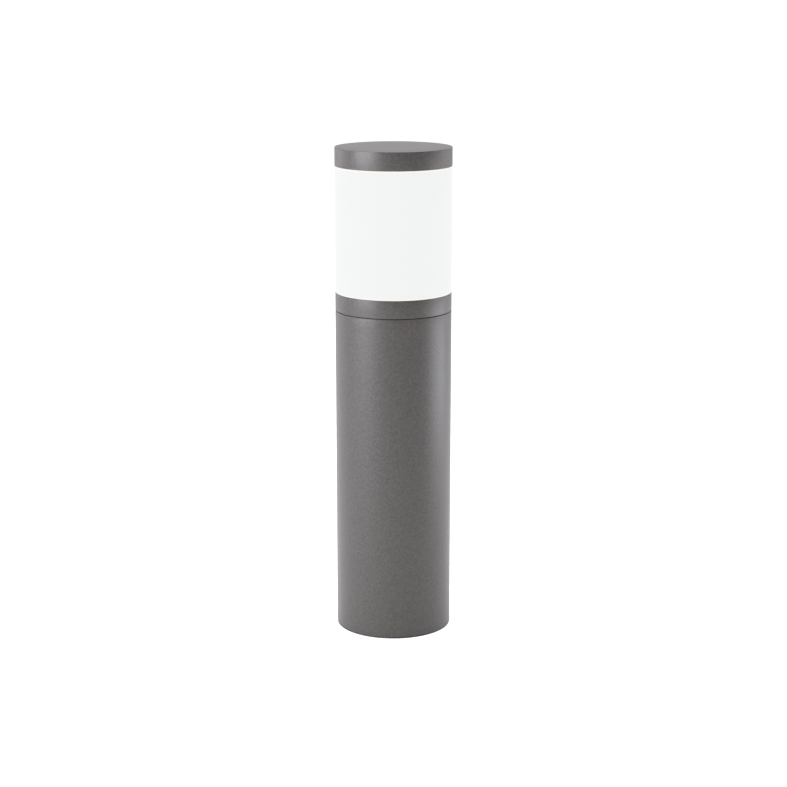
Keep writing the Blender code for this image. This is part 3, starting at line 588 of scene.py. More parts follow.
def field_tree() -> bpy.types.NodeTree:
    """A tree that sets out blocks in rows on a flat field facing +X, and repeats the field round Z.

    Returns:
        The tree, with inputs Columns, Rows, Wide, Tall, Block, Centre, Fields, Turn and Material.
    """
    net = Network(
        "blocks_on_fields",
        {
            "Columns": ("Int", 2),
            "Rows": ("Int", 2),
            "Wide": ("Float", 0.01),
            "Tall": ("Float", 0.01),
            "Block": ("Vector", (0.001, 0.001, 0.001)),
            "Centre": ("Vector", (0.0, 0.0, 0.0)),
            "Fields": ("Int", 1),
            "Turn": ("Float", 0.0),
            "Material": ("Material", None),
        },
    )
    given = net.given
    inputs = {
        "Size X": given["Tall"],
        "Size Y": given["Wide"],
        "Vertices X": given["Rows"],
        "Vertices Y": given["Columns"],
    }
    grid = net.node("GeometryNodeMeshGrid", inputs=inputs).outputs["Mesh"]
    inputs = {"Geometry": grid, "Rotation": (0.0, math.pi / 2, 0.0)}
    upright = net.node("GeometryNodeTransform", inputs=inputs).outputs[0]
    block = net.node("GeometryNodeMeshCube", inputs={"Size": given["Block"]}).outputs["Mesh"]
    inputs = {"Points": upright, "Instance": block}
    blocks = net.node("GeometryNodeInstanceOnPoints", inputs=inputs).outputs[0]
    inputs = {"Geometry": blocks, "Translation": given["Centre"]}
    placed = net.node("GeometryNodeTransform", inputs=inputs).outputs[0]

    inputs = {"Count": given["Fields"], "Offset": (0.0, 0.0, 0.0)}
    line = net.node("GeometryNodeMeshLine", inputs=inputs).outputs[0]
    index = Value(net, net.node("GeometryNodeInputIndex").outputs[0])
    turn = index * (2 * math.pi) / Value(net, given["Fields"]) + Value(net, given["Turn"])
    spin = net.node("ShaderNodeCombineXYZ", inputs={"Z": turn}).outputs[0]
    inputs = {"Points": line, "Instance": placed, "Rotation": spin}
    return net.close(net.node("GeometryNodeInstanceOnPoints", inputs=inputs).outputs[0])


def run_tree(
    tree: bpy.types.NodeTree, name: str, mesh: bpy.types.Mesh, values: dict[str, Any]
) -> bpy.types.Object:
    """Runs a tree on a mesh and keeps the result as a plain mesh.

    Args:
        tree: The Geometry Nodes tree.
        name: The new piece's name.
        mesh: What the tree is given.
        values: The tree's inputs, by name.

    Returns:
        The new object, with nothing live on it.
    """
    piece = link(name, mesh)
    modifier = piece.modifiers.new("build", "NODES")
    modifier.node_group = tree
    for item in tree.interface.items_tree:
        if item.item_type == "SOCKET" and item.in_out == "INPUT" and item.name in values:
            modifier[item.identifier] = values[item.name]
    return bake(piece)


# Meshes


def heights(box: Sequence[Sequence[float]]) -> tuple[float, float]:
    """The heights of a box's foot and top, in millimetres."""
    return box[0][2] / MM, box[1][2] / MM


@contextmanager
def editing(mesh: bpy.types.Mesh) -> Iterator[bmesh.types.BMesh]:
    """Opens a mesh for editing, and writes it back at the end.

    Args:
        mesh: The mesh.

    Returns:
        A context that gives its editable form.
    """
    shape = bmesh.new()
    shape.from_mesh(mesh)
    yield shape
    shape.to_mesh(mesh)
    shape.free()


def link(name: str, mesh: bpy.types.Mesh) -> bpy.types.Object:
    """A new object in the scene.

    Args:
        name: Its name.
        mesh: Its mesh.

    Returns:
        The object.
    """
    piece = bpy.data.objects.new(name, mesh)
    bpy.context.scene.collection.objects.link(piece)
    return piece


def bake(piece: bpy.types.Object) -> bpy.types.Object:
    """Replaces the object's mesh by its evaluated one, and removes its modifiers.

    Args:
        piece: The object.

    Returns:
        The same object.
    """
    graph = bpy.context.evaluated_depsgraph_get()
    mesh = bpy.data.meshes.new_from_object(piece.evaluated_get(graph))
    piece.modifiers.clear()
    piece.data = mesh
    return piece


def tidy(piece: bpy.types.Object) -> bpy.types.Object:
    """Turns the faces outwards and shades the piece smooth between sharp edges.

    Args:
        piece: The object.

    Returns:
        The same object.
    """
    with editing(piece.data) as shape:
        bmesh.ops.remove_doubles(shape, verts=shape.verts, dist=SAME_PLACE)
        bmesh.ops.recalc_face_normals(shape, faces=shape.faces)
    piece.data.shade_smooth()
    piece.data.set_sharp_from_angle(angle=SHARP_ANGLE)
    return piece


def rounded(
    corners: Sequence[Corner], steps: int = 5, is_open: bool = False
) -> list[tuple[float, float]]:
    """An outline with its corners rounded.

    Args:
        corners: Each corner's distance from the axis, height and rounding radius, in millimetres.
        steps: How many steps each rounding has.
        is_open: Whether the outline's two ends lie on the axis and stay apart.

    Returns:
        The outline's points, in metres.
    """
    points: list[tuple[float, float]] = []
    count = len(corners)
    for number, (x, z, radius) in enumerate(corners):
        corner = Vector((x, z))
        if radius == 0 or (is_open and number in (0, count - 1)):
            points.append((x * MM, z * MM))
            continue
        before = (Vector(corners[number - 1][:2]) - corner).normalized()
        after = (Vector(corners[(number + 1) % count][:2]) - corner).normalized()
        half = before.angle(after) / 2
        reach = radius / math.tan(half)
        start, end = corner + before * reach, corner + after * reach
        centre = corner + (before + after).normalized() * (radius / math.sin(half))
        sweep = (start - centre).angle_signed(end - centre)
        for step in range(steps + 1):
            arm = (start - centre).copy()
            arm.rotate(Matrix.Rotation(-sweep * step / steps, 2))
            points.append(((centre + arm).x * MM, (centre + arm).y * MM))
    return points


class Workshop:
    """Makes pieces from outlines and CAD nodes, and hangs each one on its body."""

    def __init__(self) -> None:
        """Builds the shared Geometry Nodes trees."""
        self.turning = turning_tree()
        self.fields = field_tree()
        self.slots = {item["node"]: item["material_slot"] for item in frame["record"]["subparts"]}
        bodies = frame["record"]["behaviour"]["bodies"]
        self.owners = {node: body for body, nodes in bodies.items() for node in nodes}

    def turned(
        self,
        name: str,
        corners: Sequence[Corner],
        finish: Finish,
        sides: int = INNER,
        is_open: bool = False,
        centre: tuple[float, float] = (0.0, 0.0),
    ) -> bpy.types.Object:
        """A body turned about an upright axis.

        Args:
            name: The piece's name.
            corners: The outline, as rounded() takes it.
            finish: What the piece wears.
            sides: How many sides it has.
            is_open: Whether the outline starts and ends on the axis.
            centre: Where the axis stands, in metres.

        Returns:
            The piece.
        """
        outline = rounded(corners, is_open=is_open)
        radius = max(r for r, _ in outline)
        count = len(outline)
        edges = [(i, (i + 1) % count) for i in range(count - 1 if is_open else count)]
        mesh = bpy.data.meshes.new(name)
        mesh.from_pydata([(r - radius, -z, 0.0) for r, z in outline], edges, [])
        values = {"Radius": radius, "Sides": sides, "Material": finish.material()}
        piece = tidy(run_tree(self.turning, name, mesh, values))
        piece.data.transform(Matrix.Translation((*centre, 0.0)))
        return piece

    def blocks(self, name: str, finish: Finish, **values: Any) -> bpy.types.Object:
        """Rows of blocks on one or more fields, as field_tree() sets them out."""
        values["Material"] = finish.material()
        return tidy(run_tree(self.fields, name, bpy.data.meshes.new(name), values))

    def prism(
        self, name: str, outline: Sequence[tuple[float, float]], low: float, high: float, finish: Finish
    ) -> bpy.types.Object:
        """An upright prism.

        Args:
            name: The piece's name.
            outline: Its plan, as (x, y) points in millimetres.
            low: The height of its foot, in millimetres.
            high: The height of its top, in millimetres.
            finish: What the piece wears.

        Returns:
            The piece.
        """
        mesh = bpy.data.meshes.new(name)
        with editing(mesh) as shape:
            foot = [shape.verts.new((x * MM, y * MM, low * MM)) for x, y in outline]
            top = [shape.verts.new((x * MM, y * MM, high * MM)) for x, y in outline]
            for here in range(len(outline)):
                after = (here + 1) % len(outline)
                shape.faces.new((foot[here], foot[after], top[after], top[here]))
            ends = [shape.faces.new(foot), shape.faces.new(list(reversed(top)))]
            bmesh.ops.triangulate(shape, faces=ends)
        mesh.materials.append(finish.material())
        return tidy(link(name, mesh))

    def cutter(
        self, radius: float, low: float, high: float, matrix: Matrix, sides: int = SMALL
    ) -> bpy.types.Object:
        """A rod for cutting holes, along the matrix's Z.

        Args:
            radius: Its radius, in millimetres.
            low: Where it starts, in millimetres.
            high: Where it ends, in millimetres.
            matrix: Where it goes.
            sides: How many sides it has.

        Returns:
            The rod, turned a little about its own axis.
        """
        corners = [(0, low, 0), (radius, low, 0), (radius, high, 0), (0, high, 0)]
        rod = self.turned("cutter", corners, STEEL, sides, True)
        rod.data.transform(matrix @ Matrix.Rotation(CUTTER_TURN, 4, "Z"))
        return rod

    def carve(self, piece: bpy.types.Object, tools: Iterable[bpy.types.Object]) -> bpy.types.Object:
        """Cuts tools out of a piece, and closes any gap that this leaves.

        Args:
            piece: What is worked on.
            tools: The closed shapes, which are used up.

        Returns:
            The piece.
        """
        for tool in tools:
            modifier = piece.modifiers.new("carve", "BOOLEAN")
            modifier.solver, modifier.operation, modifier.object = "EXACT", "DIFFERENCE", tool
            modifier.material_mode = "INDEX"
            bake(piece)
            bpy.data.objects.remove(tool)
        with editing(piece.data) as shape:
            bmesh.ops.remove_doubles(shape, verts=shape.verts, dist=SAME_PLACE)
            bmesh.ops.holes_fill(shape, edges=[edge for edge in shape.edges if edge.is_boundary])
        return tidy(piece)

    def hand_over(self, piece: bpy.types.Object, *nodes: str, body: str = "", slot: str = "") -> None:
        """Hangs a piece on the body that it rides on, and hides the CAD nodes that it stands for.

        Args:
            piece: The finished piece.
            nodes: The CAD nodes that it replaces.
            body: The body that it rides on, where it replaces nothing.
            slot: Its material slot, where it replaces nothing. Not used.
        """
        body = body or self.owners[nodes[0]]
        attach(piece, body)
        if nodes:
            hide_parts(*nodes)
        triangles = sum(len(face.vertices) - 2 for face in piece.data.polygons)
        LOG.info("%s rides on %s, %d triangles", piece.name, body, triangles)

    def refine(self, node: str, finish: Finish, width: float = 0.25, name: str = "") -> bpy.types.Object:
        """A fine copy of a CAD node, with its corners rounded.

        Args:
            node: The CAD node.
            finish: What the copy wears.
            width: The rounding's width in millimetres, or 0 for none.
            name: The new piece's name.

        Returns:
            The piece, already handed over.
        """
        piece = link(name or f"{node}_fine", frame["nodes"][node].data.copy())
        with editing(piece.data) as shape:
            bmesh.ops.remove_doubles(shape, verts=shape.verts, dist=CAD_SAME_PLACE)
            bmesh.ops.dissolve_limit(shape, angle_limit=FLAT_ANGLE, verts=shape.verts, edges=shape.edges)
            many_sided = [face for face in shape.faces if len(face.verts) > 4]
            bmesh.ops.triangulate(shape, faces=many_sided)
        if width:
            bevel = piece.modifiers.new("rounding", "BEVEL")
            bevel.width, bevel.segments = width * MM, 3
            bevel.limit_method, bevel.angle_limit = "ANGLE", BEVEL_ANGLE
            bevel.harden_normals = False
            bake(piece)
        piece.data.materials.clear()
        piece.data.materials.append(finish.material())
        tidy(piece)
        self.hand_over(piece, node)
        return piece


# Fasteners


class Head(Enum):
    """The shapes of screw head."""

    CYLINDER = "cylinder"
    COUNTERSUNK = "countersunk"
    NONE = "none"


@dataclass(frozen=True)
class Screw:
    """A socket screw. Millimetres, with its head's top at height 0 and its shank below."""

    head: Head
    shank: float
    length: float
    radius: float
    height: float
    flats: float
    pitch: float

    def outline(self) -> list[Corner]:
        """The screw's outline from the head's top to its point, its thread a row of ridges.

        Returns:
            The corners, as rounded() takes them.
        """
        seat = -self.height
        if self.head is Head.CYLINDER:
            top = [(0, 0, 0), (self.radius, 0, 0.4), (self.radius, seat, 0.15), (self.shank, seat, 0)]
        elif self.head is Head.COUNTERSUNK:
            top = [(0, 0, 0), (self.radius, 0, 0.1), (self.radius, -0.3, 0.1), (self.shank, seat, 0)]
        else:
            top = [(0, 0, 0), (self.shank - 0.4, 0, 0), (self.shank, -0.4, 0)]
            seat = -0.4
        depth, tip = self.pitch * 0.4, -self.length
        turns = int((seat - tip - 2.5 * self.pitch) / self.pitch)
        ridges: list[Corner] = []
        for turn in range(turns):
            z = seat - self.pitch * (turn + 0.5)
            ridges += [(self.shank, z, 0), (self.shank - depth, z - self.pitch / 2, 0)]
        point = 0.4 if self.head is Head.NONE else 0.75
        end = [(self.shank, tip + self.pitch, 0), (self.shank * point, tip, 0), (0, tip, 0)]
        return top + ridges + end

    def build(self, shop: Workshop, name: str) -> bpy.types.Object:
        """The screw, standing at the origin.

        Args:
            shop: What makes the shapes.
            name: The piece's name.

        Returns:
            The piece.
        """
        screw = shop.turned(name, self.outline(), STEEL, SMALL, True)
        deep = 4.0 if self.head is Head.CYLINDER else 2.2
        corner = self.flats / 2 / math.cos(math.pi / 6)
        socket = shop.cutter(corner, -min(deep, self.height * 0.6 or deep), 1.0, Matrix(), 6)
        return shop.carve(screw, [socket])


UP, DOWN = Vector((0, 0, 1)), Vector((0, 0, -1))
M4 = Screw(Head.CYLINDER, 1.8, 8.6, 3.4, 2.6, 2.5, 0.7)
M4_TRAY = Screw(Head.CYLINDER, 1.8, 11.5, 3.4, 4.0, 3.0, 0.7)
M4_LONG = Screw(Head.CYLINDER, 1.8, 22.0, 3.4, 4.0, 3.0, 0.7)
M6 = Screw(Head.CYLINDER, 2.4, 26.0, 4.8, 6.0, 5.0, 1.0)
M6_SUNK = Screw(Head.COUNTERSUNK, 2.4, 25.0, 5.8, 3.3, 4.0, 1.0)
M6_SET = Screw(Head.NONE, 2.8, 14.0, 2.8, 5.0, 3.0, 1.0)


def place_screw(shop: Workshop, node: str, kind: Screw, facing: Vector) -> None:
    """Puts a fine screw where a CAD screw is.

    Args:
        shop: What makes the shapes.
        node: The CAD screw.
        kind: The screw to put there.
        facing: The way its head's top faces.
    """
    low, high = (Vector(corner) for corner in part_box(node))
    middle, half = (low + high) / 2, (high - low) / 2
    top = middle + Vector(f * h for f, h in zip(facing, half))
    turn = Vector((0, 0, 1)).rotation_difference(facing).to_matrix().to_4x4()
    screw = kind.build(shop, f"{node}_fine")
    screw.data.transform(Matrix.Translation(top) @ turn)
    shop.hand_over(tidy(screw), node)


# Sub-assemblies


def polar(circle: float, degrees: float) -> tuple[float, float]:
    """The (x, y) of a point on a circle round the axis, in the circle's unit."""
    return circle * math.cos(math.radians(degrees)), circle * math.sin(math.radians(degrees))


def upright(circle: float, degrees: float) -> Matrix:
    """A place on a circle round the axis, in millimetres, as a matrix in metres."""
    return Matrix.Translation(Vector((*polar(circle, degrees), 0.0)) * MM)


@dataclass
class Post:
    """The coated tube, its foot and its collar. Sizes in millimetres."""

    shop: Workshop
    radius: float = 95.0
    inside: float = 91.0
    port_circle: float = 83.0
    port_radius: float = 7.0
    port_bore: float = 2.75
    port_web: float = 5.0
    port_slit: float = 1.0
    port_bite: float = 0.6
    port_sink: float = 2.9
    port_angles: tuple[int, ...] = (90, 210, 330)
    anchor_circle: float = 65.0
    anchor_angles: tuple[int, ...] = (30, 150, 270)
    slot_width: float = 11.0
    slot_length: float = 20.0
    lock_height: float = 513.0
    lock_band: float = 8.0
    lock_span: tuple[float, float] = (70.0, 100.0)
    lock_clear: float = 4.0
    screw_clear: float = 3.3
    gasket_inner: float = 74.0
    inset_radius: float = 90.7
    plate_thick: float = 12.0
    cable_radius: float = 35.0
    neck_foot: float = 43.0
    neck_top: float = 41.0
    sink_radius: float = 6.2
    sink_depth: float = 3.2
    stud_circle: float = 62.0
    stud_floor: float = 2.7
    grommet: tuple[float, float, float] = (31.0, 34.7, 39.0)
    grommet_rim: float = 3.0
    collar_bore: float = 75.0
    rim_radius: float = 77.3
    rim_height: float = 3.7
    well_radius: float = 5.3
    well_floor: float = 6.0

    def build(self) -> None:
        """Makes every piece that stays in the ground."""
        self.tube()
        self.foot()
        self.collar()
        self.fasteners()

    def lock_holes(self, radius: float) -> list[bpy.types.Object]:
        """Cutters for the two set screw holes.

        Args:
            radius: The holes' radius, in millimetres.

        Returns:
            The left and the right cutter.
        """
        holes = []
        for side in (-1, 1):
            turn = Matrix.Rotation(side * math.pi / 2, 4, "Y")
            place = Matrix.Translation((0.0, 0.0, self.lock_height * MM))
            holes.append(self.shop.cutter(radius, *self.lock_span, place @ turn))
        return holes

    def tube(self) -> None:
        """The extruded tube, with its screw ports and set screw holes."""
        low, high = heights(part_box("post_tube"))
        above, below = self.lock_height + self.lock_band, self.lock_height - self.lock_band
        corners = [
            (self.inside, low, 0),
            (self.radius, low, 0.4),
            (self.radius, below, 0),
            (self.radius, above, 0),
            (self.radius, high, 0.6),
            (self.inside, high, 0.3),
            (self.inside, above, 0),
            (self.inside, below, 0),
        ]
        tube = self.shop.turned("tube_shell", corners, COAT, FINE)
        self.shop.carve(tube, self.lock_holes(self.lock_clear))
        self.shop.hand_over(tube, "post_tube")
        foot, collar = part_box("base_flange"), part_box("post_collar")
        low, high = foot[1][2] / MM - self.port_sink, collar[0][2] / MM - GAP
        for number, angle in enumerate(self.port_angles, 1):
            port = self.port(f"screw_port_{number}", low, high)
            turn = Matrix.Rotation(math.radians(angle), 4, "Z")
            port.data.transform(upright(self.port_circle, angle) @ turn)
            self.shop.hand_over(port, body="post", slot="coated")

    def port(self, name: str, low: float, high: float) -> bpy.types.Object:
        """A screw port: an open C in section, with a web that runs into the tube's wall.

        Args:
            name: The piece's name.
            low: The height of its foot.
            high: The height of its top.

        Returns:
            The port, about the Z axis and with its web towards +X.
        """
        radius, bore, web, slit = self.port_radius, self.port_bore, self.port_web, self.port_slit
        wall = self.inside + self.port_bite - self.port_circle
        turn = math.asin(web / radius)
        bend = math.asin(slit / radius)
        throat = math.asin(slit / bore)
        steps = 24
        outer = [turn + (math.pi - bend - turn) * step / steps for step in range(steps + 1)]
        inner = [math.pi - throat - (math.pi - throat) * step / steps for step in range(steps)]
        half = [(wall, web)]
        half += [(radius * math.cos(a), radius * math.sin(a)) for a in outer]
        half += [(bore * math.cos(a), bore * math.sin(a)) for a in inner]
        outline = half + [(bore, 0.0)] + [(x, -y) for x, y in reversed(half)]
        return self.shop.prism(name, outline, low, high, COAT)

    def slot_outline(self) -> list[tuple[float, float]]:
        """An anchor slot's plan, long across the radius.

        Returns:
            Its (x, y) points in millimetres.
        """
        half, reach, steps = self.slot_width / 2, (self.slot_length - self.slot_width) / 2, 16
        points = []
        for step in range(2 * steps):
            turn = math.pi * (step + 0.5) / steps
            side = reach if turn < math.pi else -reach
            points.append((half * math.cos(turn), half * math.sin(turn) + side))
        return points

    def foot(self) -> None:
        """The gasket, the flange with its holes, and the cable grommet."""
        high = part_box("base_gasket")[1][2] / MM
        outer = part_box("base_gasket")[1][0] / MM
        inner = self.gasket_inner
        ring = [(inner, 0, 0.2), (outer, 0, 0.3), (outer, high, 0.3), (inner, high, 0.3)]
        self.shop.hand_over(self.shop.turned("foot_gasket", ring, RUBBER, FINE), "base_gasket")

        low, top = heights(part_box("base_flange"))
        plate = low + self.plate_thick
        corners = [
            (self.cable_radius, low, 0.5),
            (self.inset_radius, low, 0.8),
            (self.inset_radius, plate, 0.8),
            (self.neck_foot, plate, 1.0),
            (self.neck_top, top, 0.8),
            (self.cable_radius, top, 0.5),
        ]
        flange = self.shop.turned("flange_casting", corners, CAST)
        tools = []
        for angle in self.anchor_angles:
            slot = self.shop.prism("slot", self.slot_outline(), low - 1, plate + 1, CAST)
            turn = Matrix.Rotation(math.radians(angle), 4, "Z")
            slot.data.transform(upright(self.anchor_circle, angle) @ turn)
            tools.append(slot)
        clear, sink = self.screw_clear, self.sink_depth
        for angle in self.port_angles:
            place = upright(self.port_circle, angle)
            tools.append(self.shop.cutter(clear, low - 1, plate + 1, place))
            tools.append(self.shop.cutter(self.sink_radius, low - 1, low + sink, place))
        place = upright(self.stud_circle, 90)
        tools.append(self.shop.cutter(clear, low + self.stud_floor, plate + 1, place))
        self.shop.hand_over(self.shop.carve(flange, tools), "base_flange")

        low, high = heights(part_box("cable_grommet"))
        bore, neck, rim = self.grommet
        ledge = high - self.grommet_rim
        corners = [
            (bore, low, 0.6),
            (neck, low, 0.6),
            (neck, ledge, 0.2),
            (rim, ledge, 0.3),
            (rim, high, 1.0),
            (bore, high, 1.0),
        ]
        self.shop.hand_over(self.shop.turned("grommet_ring", corners, RUBBER), "cable_grommet")

    def collar(self) -> None:
        """The collar casting, with its screw wells and set screw holes."""
        low, rim = heights(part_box("post_collar"))
        top, well = rim - self.rim_height, low + self.well_floor
        corners = [
            (self.collar_bore, low, 0.6),
            (self.inset_radius, low, 0.6),
            (self.inset_radius, top, 0.8),
            (self.rim_radius, top, 0.3),
            (self.rim_radius, rim, 0.5),
            (self.collar_bore, rim, 0.5),
        ]
        collar = self.shop.turned("collar_casting", corners, CAST)
        tools = self.lock_holes(self.screw_clear)
        for angle in self.port_angles:
            place = upright(self.port_circle, angle)
            tools.append(self.shop.cutter(self.screw_clear, low - 1, well + 1, place))
            tools.append(self.shop.cutter(self.well_radius, well, top + 1, place))
        self.shop.hand_over(self.shop.carve(collar, tools), "post_collar")

    def fasteners(self) -> None:
        """The post's screws, stud and nut."""
        for number in (1, 2, 3):
            place_screw(self.shop, f"flange_screw_{number}", M6_SUNK, DOWN)
            place_screw(self.shop, f"collar_screw_{number}", M6, UP)
        place_screw(self.shop, "lock_screw_left", M6_SET, Vector((-1, 0, 0)))
        place_screw(self.shop, "lock_screw_right", M6_SET, Vector((1, 0, 0)))
        self.shop.refine("earth_stud", STEEL, 0.3)
        self.shop.refine("earth_nut", STEEL, 0.4)


@dataclass
class LampHead:
    """The ring, lens and cap that show, with their seals and reflectors. Sizes in millimetres."""

    shop: Workshop
    radius: float = 95.0
    lip_outer: float = 89.5
    lip_inner: float = 84.0
    seal_floor: float = 87.0
    groove_half: float = 1.5
    gland: tuple[float, float] = (38.0, 210.0)
    gland_hole: float = 8.1
    hub_inner: float = 75.0
    hub_outer: float = 80.0
    channel_outer: float = 90.0
    lip_height: float = 8.0
    floor_drop: float = 4.0
    floor_thick: float = 8.0
    ledge_rise: float = 5.7
    ledge_depth: float = 2.0
    wall_step: float = 1.0
    rod_hole: float = 4.6
    column_circle: float = 15.0
    column_hole: float = 2.4
    tray_screw: tuple[float, float] = (30.0, 36.0)
    tray_hole: float = 2.1
    tray_web: float = 2.0
    spigot_bore: float = 69.0
    spigot_outer: float = 74.7
    spigot_groove: float = 71.5
    spigot_lead: float = 1.0
    groove_clear: float = 0.6
    lens_wall: float = 5.0
    cap_height: float = 30.0
    cap_plate: float = 6.0
    boss_radius: float = 12.0
    boss_bore: float = 4.2
    bore_web: float = 6.0
    top_ring: float = 60.0
    rib: Triple = (71.0, 3.0, 7.0)
    rib_centre: float = 47.8
    rib_drop: float = 3.6
    rib_turn: float = 2.5
    seal_sides: int = 14
    column_clear: float = 29.5
    reflector_lap: float = 1.7
    reflector_sheet: float = 1.5
    lead_hole: float = 5.0

    def build(self) -> None:
        """Makes every piece of the head's shell."""
        self.base()
        self.spigot()
        self.lens()
        self.cap()
        self.seals()
        self.reflectors()

    def grooved(self, root: float, tip: float) -> list[Corner]:
        """The outer side of a lip, with its seal's groove.

        Args:
            root: The height where the lip starts.
            tip: The height where it ends.

        Returns:
            The corners from root to tip.
        """
        way = 1 if tip > root else -1
        middle = (root + tip) / 2
        near, far = middle - way * self.groove_half, middle + way * self.groove_half
        return [
            (self.lip_outer, root, 0),
            (self.lip_outer, near, 0.1),
            (self.seal_floor, near, 0.2),
            (self.seal_floor, far, 0.2),
            (self.lip_outer, far, 0.1),
            (self.lip_outer, tip, 0.5),
        ]

    def base(self) -> None:
        """The ring with its hub and floor."""
        ring_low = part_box("head_base")[0][2] / MM
        ring_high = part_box("diffuser")[0][2] / MM - GAP
        floor_high, ledge = ring_high - self.floor_drop, ring_high + self.ledge_rise
        floor_low, lip_top = floor_high - self.floor_thick, ring_high + self.lip_height
        seat, wall = self.lip_inner + self.ledge_depth, self.lip_inner - self.wall_step
        corners = [
            (self.hub_inner, ring_low, 0.4),
            (self.hub_outer, ring_low, 0.3),
            (self.hub_outer, floor_low, 0.5),
            (self.channel_outer, floor_low, 0.5),
            (self.channel_outer, ring_low, 0.3),
            (self.radius, ring_low, 0.5),
            (self.radius, ring_high, 0.5),
            *self.grooved(ring_high, lip_top),
            (seat, lip_top, 0.3),
            (seat, ledge, 0),
            (wall, ledge, 0.2),
            (wall, floor_high, 0.5),
            (self.rod_hole, floor_high, 0.3),
            (self.rod_hole, floor_low, 0.3),
            (self.hub_inner, floor_low, 0.3),
        ]
        base = self.shop.turned("ring_casting", corners, COAT, FINE)
        low, high = floor_low - 1, floor_high + 1
        tools = []
        for angle in (30, 150, 270):
            place = upright(self.column_circle, angle)
            tools.append(self.shop.cutter(self.column_hole, low, high, place))
        across, back = self.tray_screw
        for x in (-across, across):
            place = Matrix.Translation(Vector((x, back, 0.0)) * MM)
            tools.append(self.shop.cutter(self.tray_hole, low, floor_high - self.tray_web, place))
        tools.append(self.shop.cutter(self.gland_hole, low, high, upright(*self.gland), MEDIUM))
        self.shop.hand_over(self.shop.carve(base, tools), "head_base")

    def spigot(self) -> None:
        """The turned tube that stands in the collar, with its seal's groove."""
        low, high = heights(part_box("head_spigot"))
        groove_low, groove_high = heights(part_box("head_o_ring"))
        groove_low, groove_high = groove_low - self.groove_clear, groove_high + self.groove_clear
        bore, outer, lead = self.spigot_bore, self.spigot_outer, self.spigot_lead
        corners = [
            (bore, low, 0.4),
            (outer - lead, low, 0.2),
            (outer, low + lead, 0.3),
            (outer, groove_low, 0.1),
            (self.spigot_groove, groove_low, 0.2),
            (self.spigot_groove, groove_high, 0.2),
            (outer, groove_high, 0.1),
            (outer, high, 0.3),
            (bore, high, 0.3),
        ]
        self.shop.hand_over(self.shop.turned("spigot_tube", corners, EXTRUDED), "head_spigot")

    def lens(self) -> None:
        """The opal tube that shines."""
        low, high = heights(LENS_BOX)
        inner = self.radius - self.lens_wall
        corners = [
            (inner, low, 0.3),
            (self.radius, low, 0.5),
            (self.radius, high, 0.5),
            (inner, high, 0.3),
        ]
        self.shop.hand_over(self.shop.turned("opal_tube", corners, OPAL, FINE), "diffuser")

    def cap(self) -> None:
        """The cap, with its boss and its ribs."""
        boss_low, top = heights(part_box("top_cap"))
        low, plate = top - self.cap_height, top - self.cap_plate
        lip_low, bore_top = low - self.lip_height, plate - self.bore_web
        corners = [
            (0, top, 0),
            (self.top_ring, top, 0),
            (self.radius, top, 0.5),
            (self.radius, low, 0.5),
            *self.grooved(low, lip_low),
            (self.lip_inner, lip_low, 0.3),
            (self.lip_inner, plate, 0.8),
            (self.boss_radius, plate, 0.8),
            (self.boss_radius, boss_low, 0.4),
            (self.boss_bore, boss_low, 0.3),
            (self.boss_bore, bore_top, 0),
            (0, bore_top, 0),
        ]
        cap = self.shop.turned("cap_casting", corners, COAT, FINE, True)
        self.shop.hand_over(cap, "top_cap")
        ribs = self.shop.blocks(
            "cap_ribs",
            COAT,
            Columns=1,
            Rows=1,
            Block=tuple(side * MM for side in self.rib),
            Centre=(self.rib_centre * MM, 0.0, (plate - self.rib_drop) * MM),
            Fields=6,
            Turn=math.radians(self.rib_turn),
        )
        self.shop.hand_over(ribs, body="head", slot="coated")

    def seals(self) -> None:
        """The round seals in their grooves."""
        for node, radius, section in (
            ("head_o_ring", 73.2, 1.35),
            ("lower_seal", 88.4, 1.15),
            ("upper_seal", 88.4, 1.15),
        ):
            middle = sum(corner[2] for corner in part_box(node)) / 2 / MM
            corners = []
            for step in range(self.seal_sides):
                turn = 2 * math.pi * step / self.seal_sides
                corners.append((radius + section * math.cos(turn), middle + section * math.sin(turn), 0))
            self.shop.hand_over(self.shop.turned(f"{node}_ring", corners, RUBBER), node)

    def reflectors(self) -> None:
        """The white discs above and below the column."""
        low, high = heights(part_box("lower_reflector"))
        inner, outer = self.column_clear, self.lip_inner + self.reflector_lap
        corners = [(inner, low, 0.2), (outer, low, 0.3), (outer, high, 0.3), (inner, high, 0.2)]
        lower = self.shop.turned("lower_reflector_disc", corners, WHITE)
        drill = self.shop.cutter(self.lead_hole, low - 1, high + 1, upright(*self.gland))
        self.shop.hand_over(self.shop.carve(lower, [drill]), "lower_reflector")
        low, high = heights(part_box("upper_reflector"))
        hole, rim, sheet = self.rod_hole, self.lip_inner - GAP, self.reflector_sheet
        corners = [
            (hole, low, 0.2),
            (rim, low, 1.2),
            (rim, high, 0.3),
            (rim - sheet, high, 0.3),
            (rim - sheet, low + sheet, 0.6),
            (hole, low + sheet, 0.2),
        ]
        upper = self.shop.turned("upper_reflector_disc", corners, WHITE)
        self.shop.hand_over(upper, "upper_reflector")


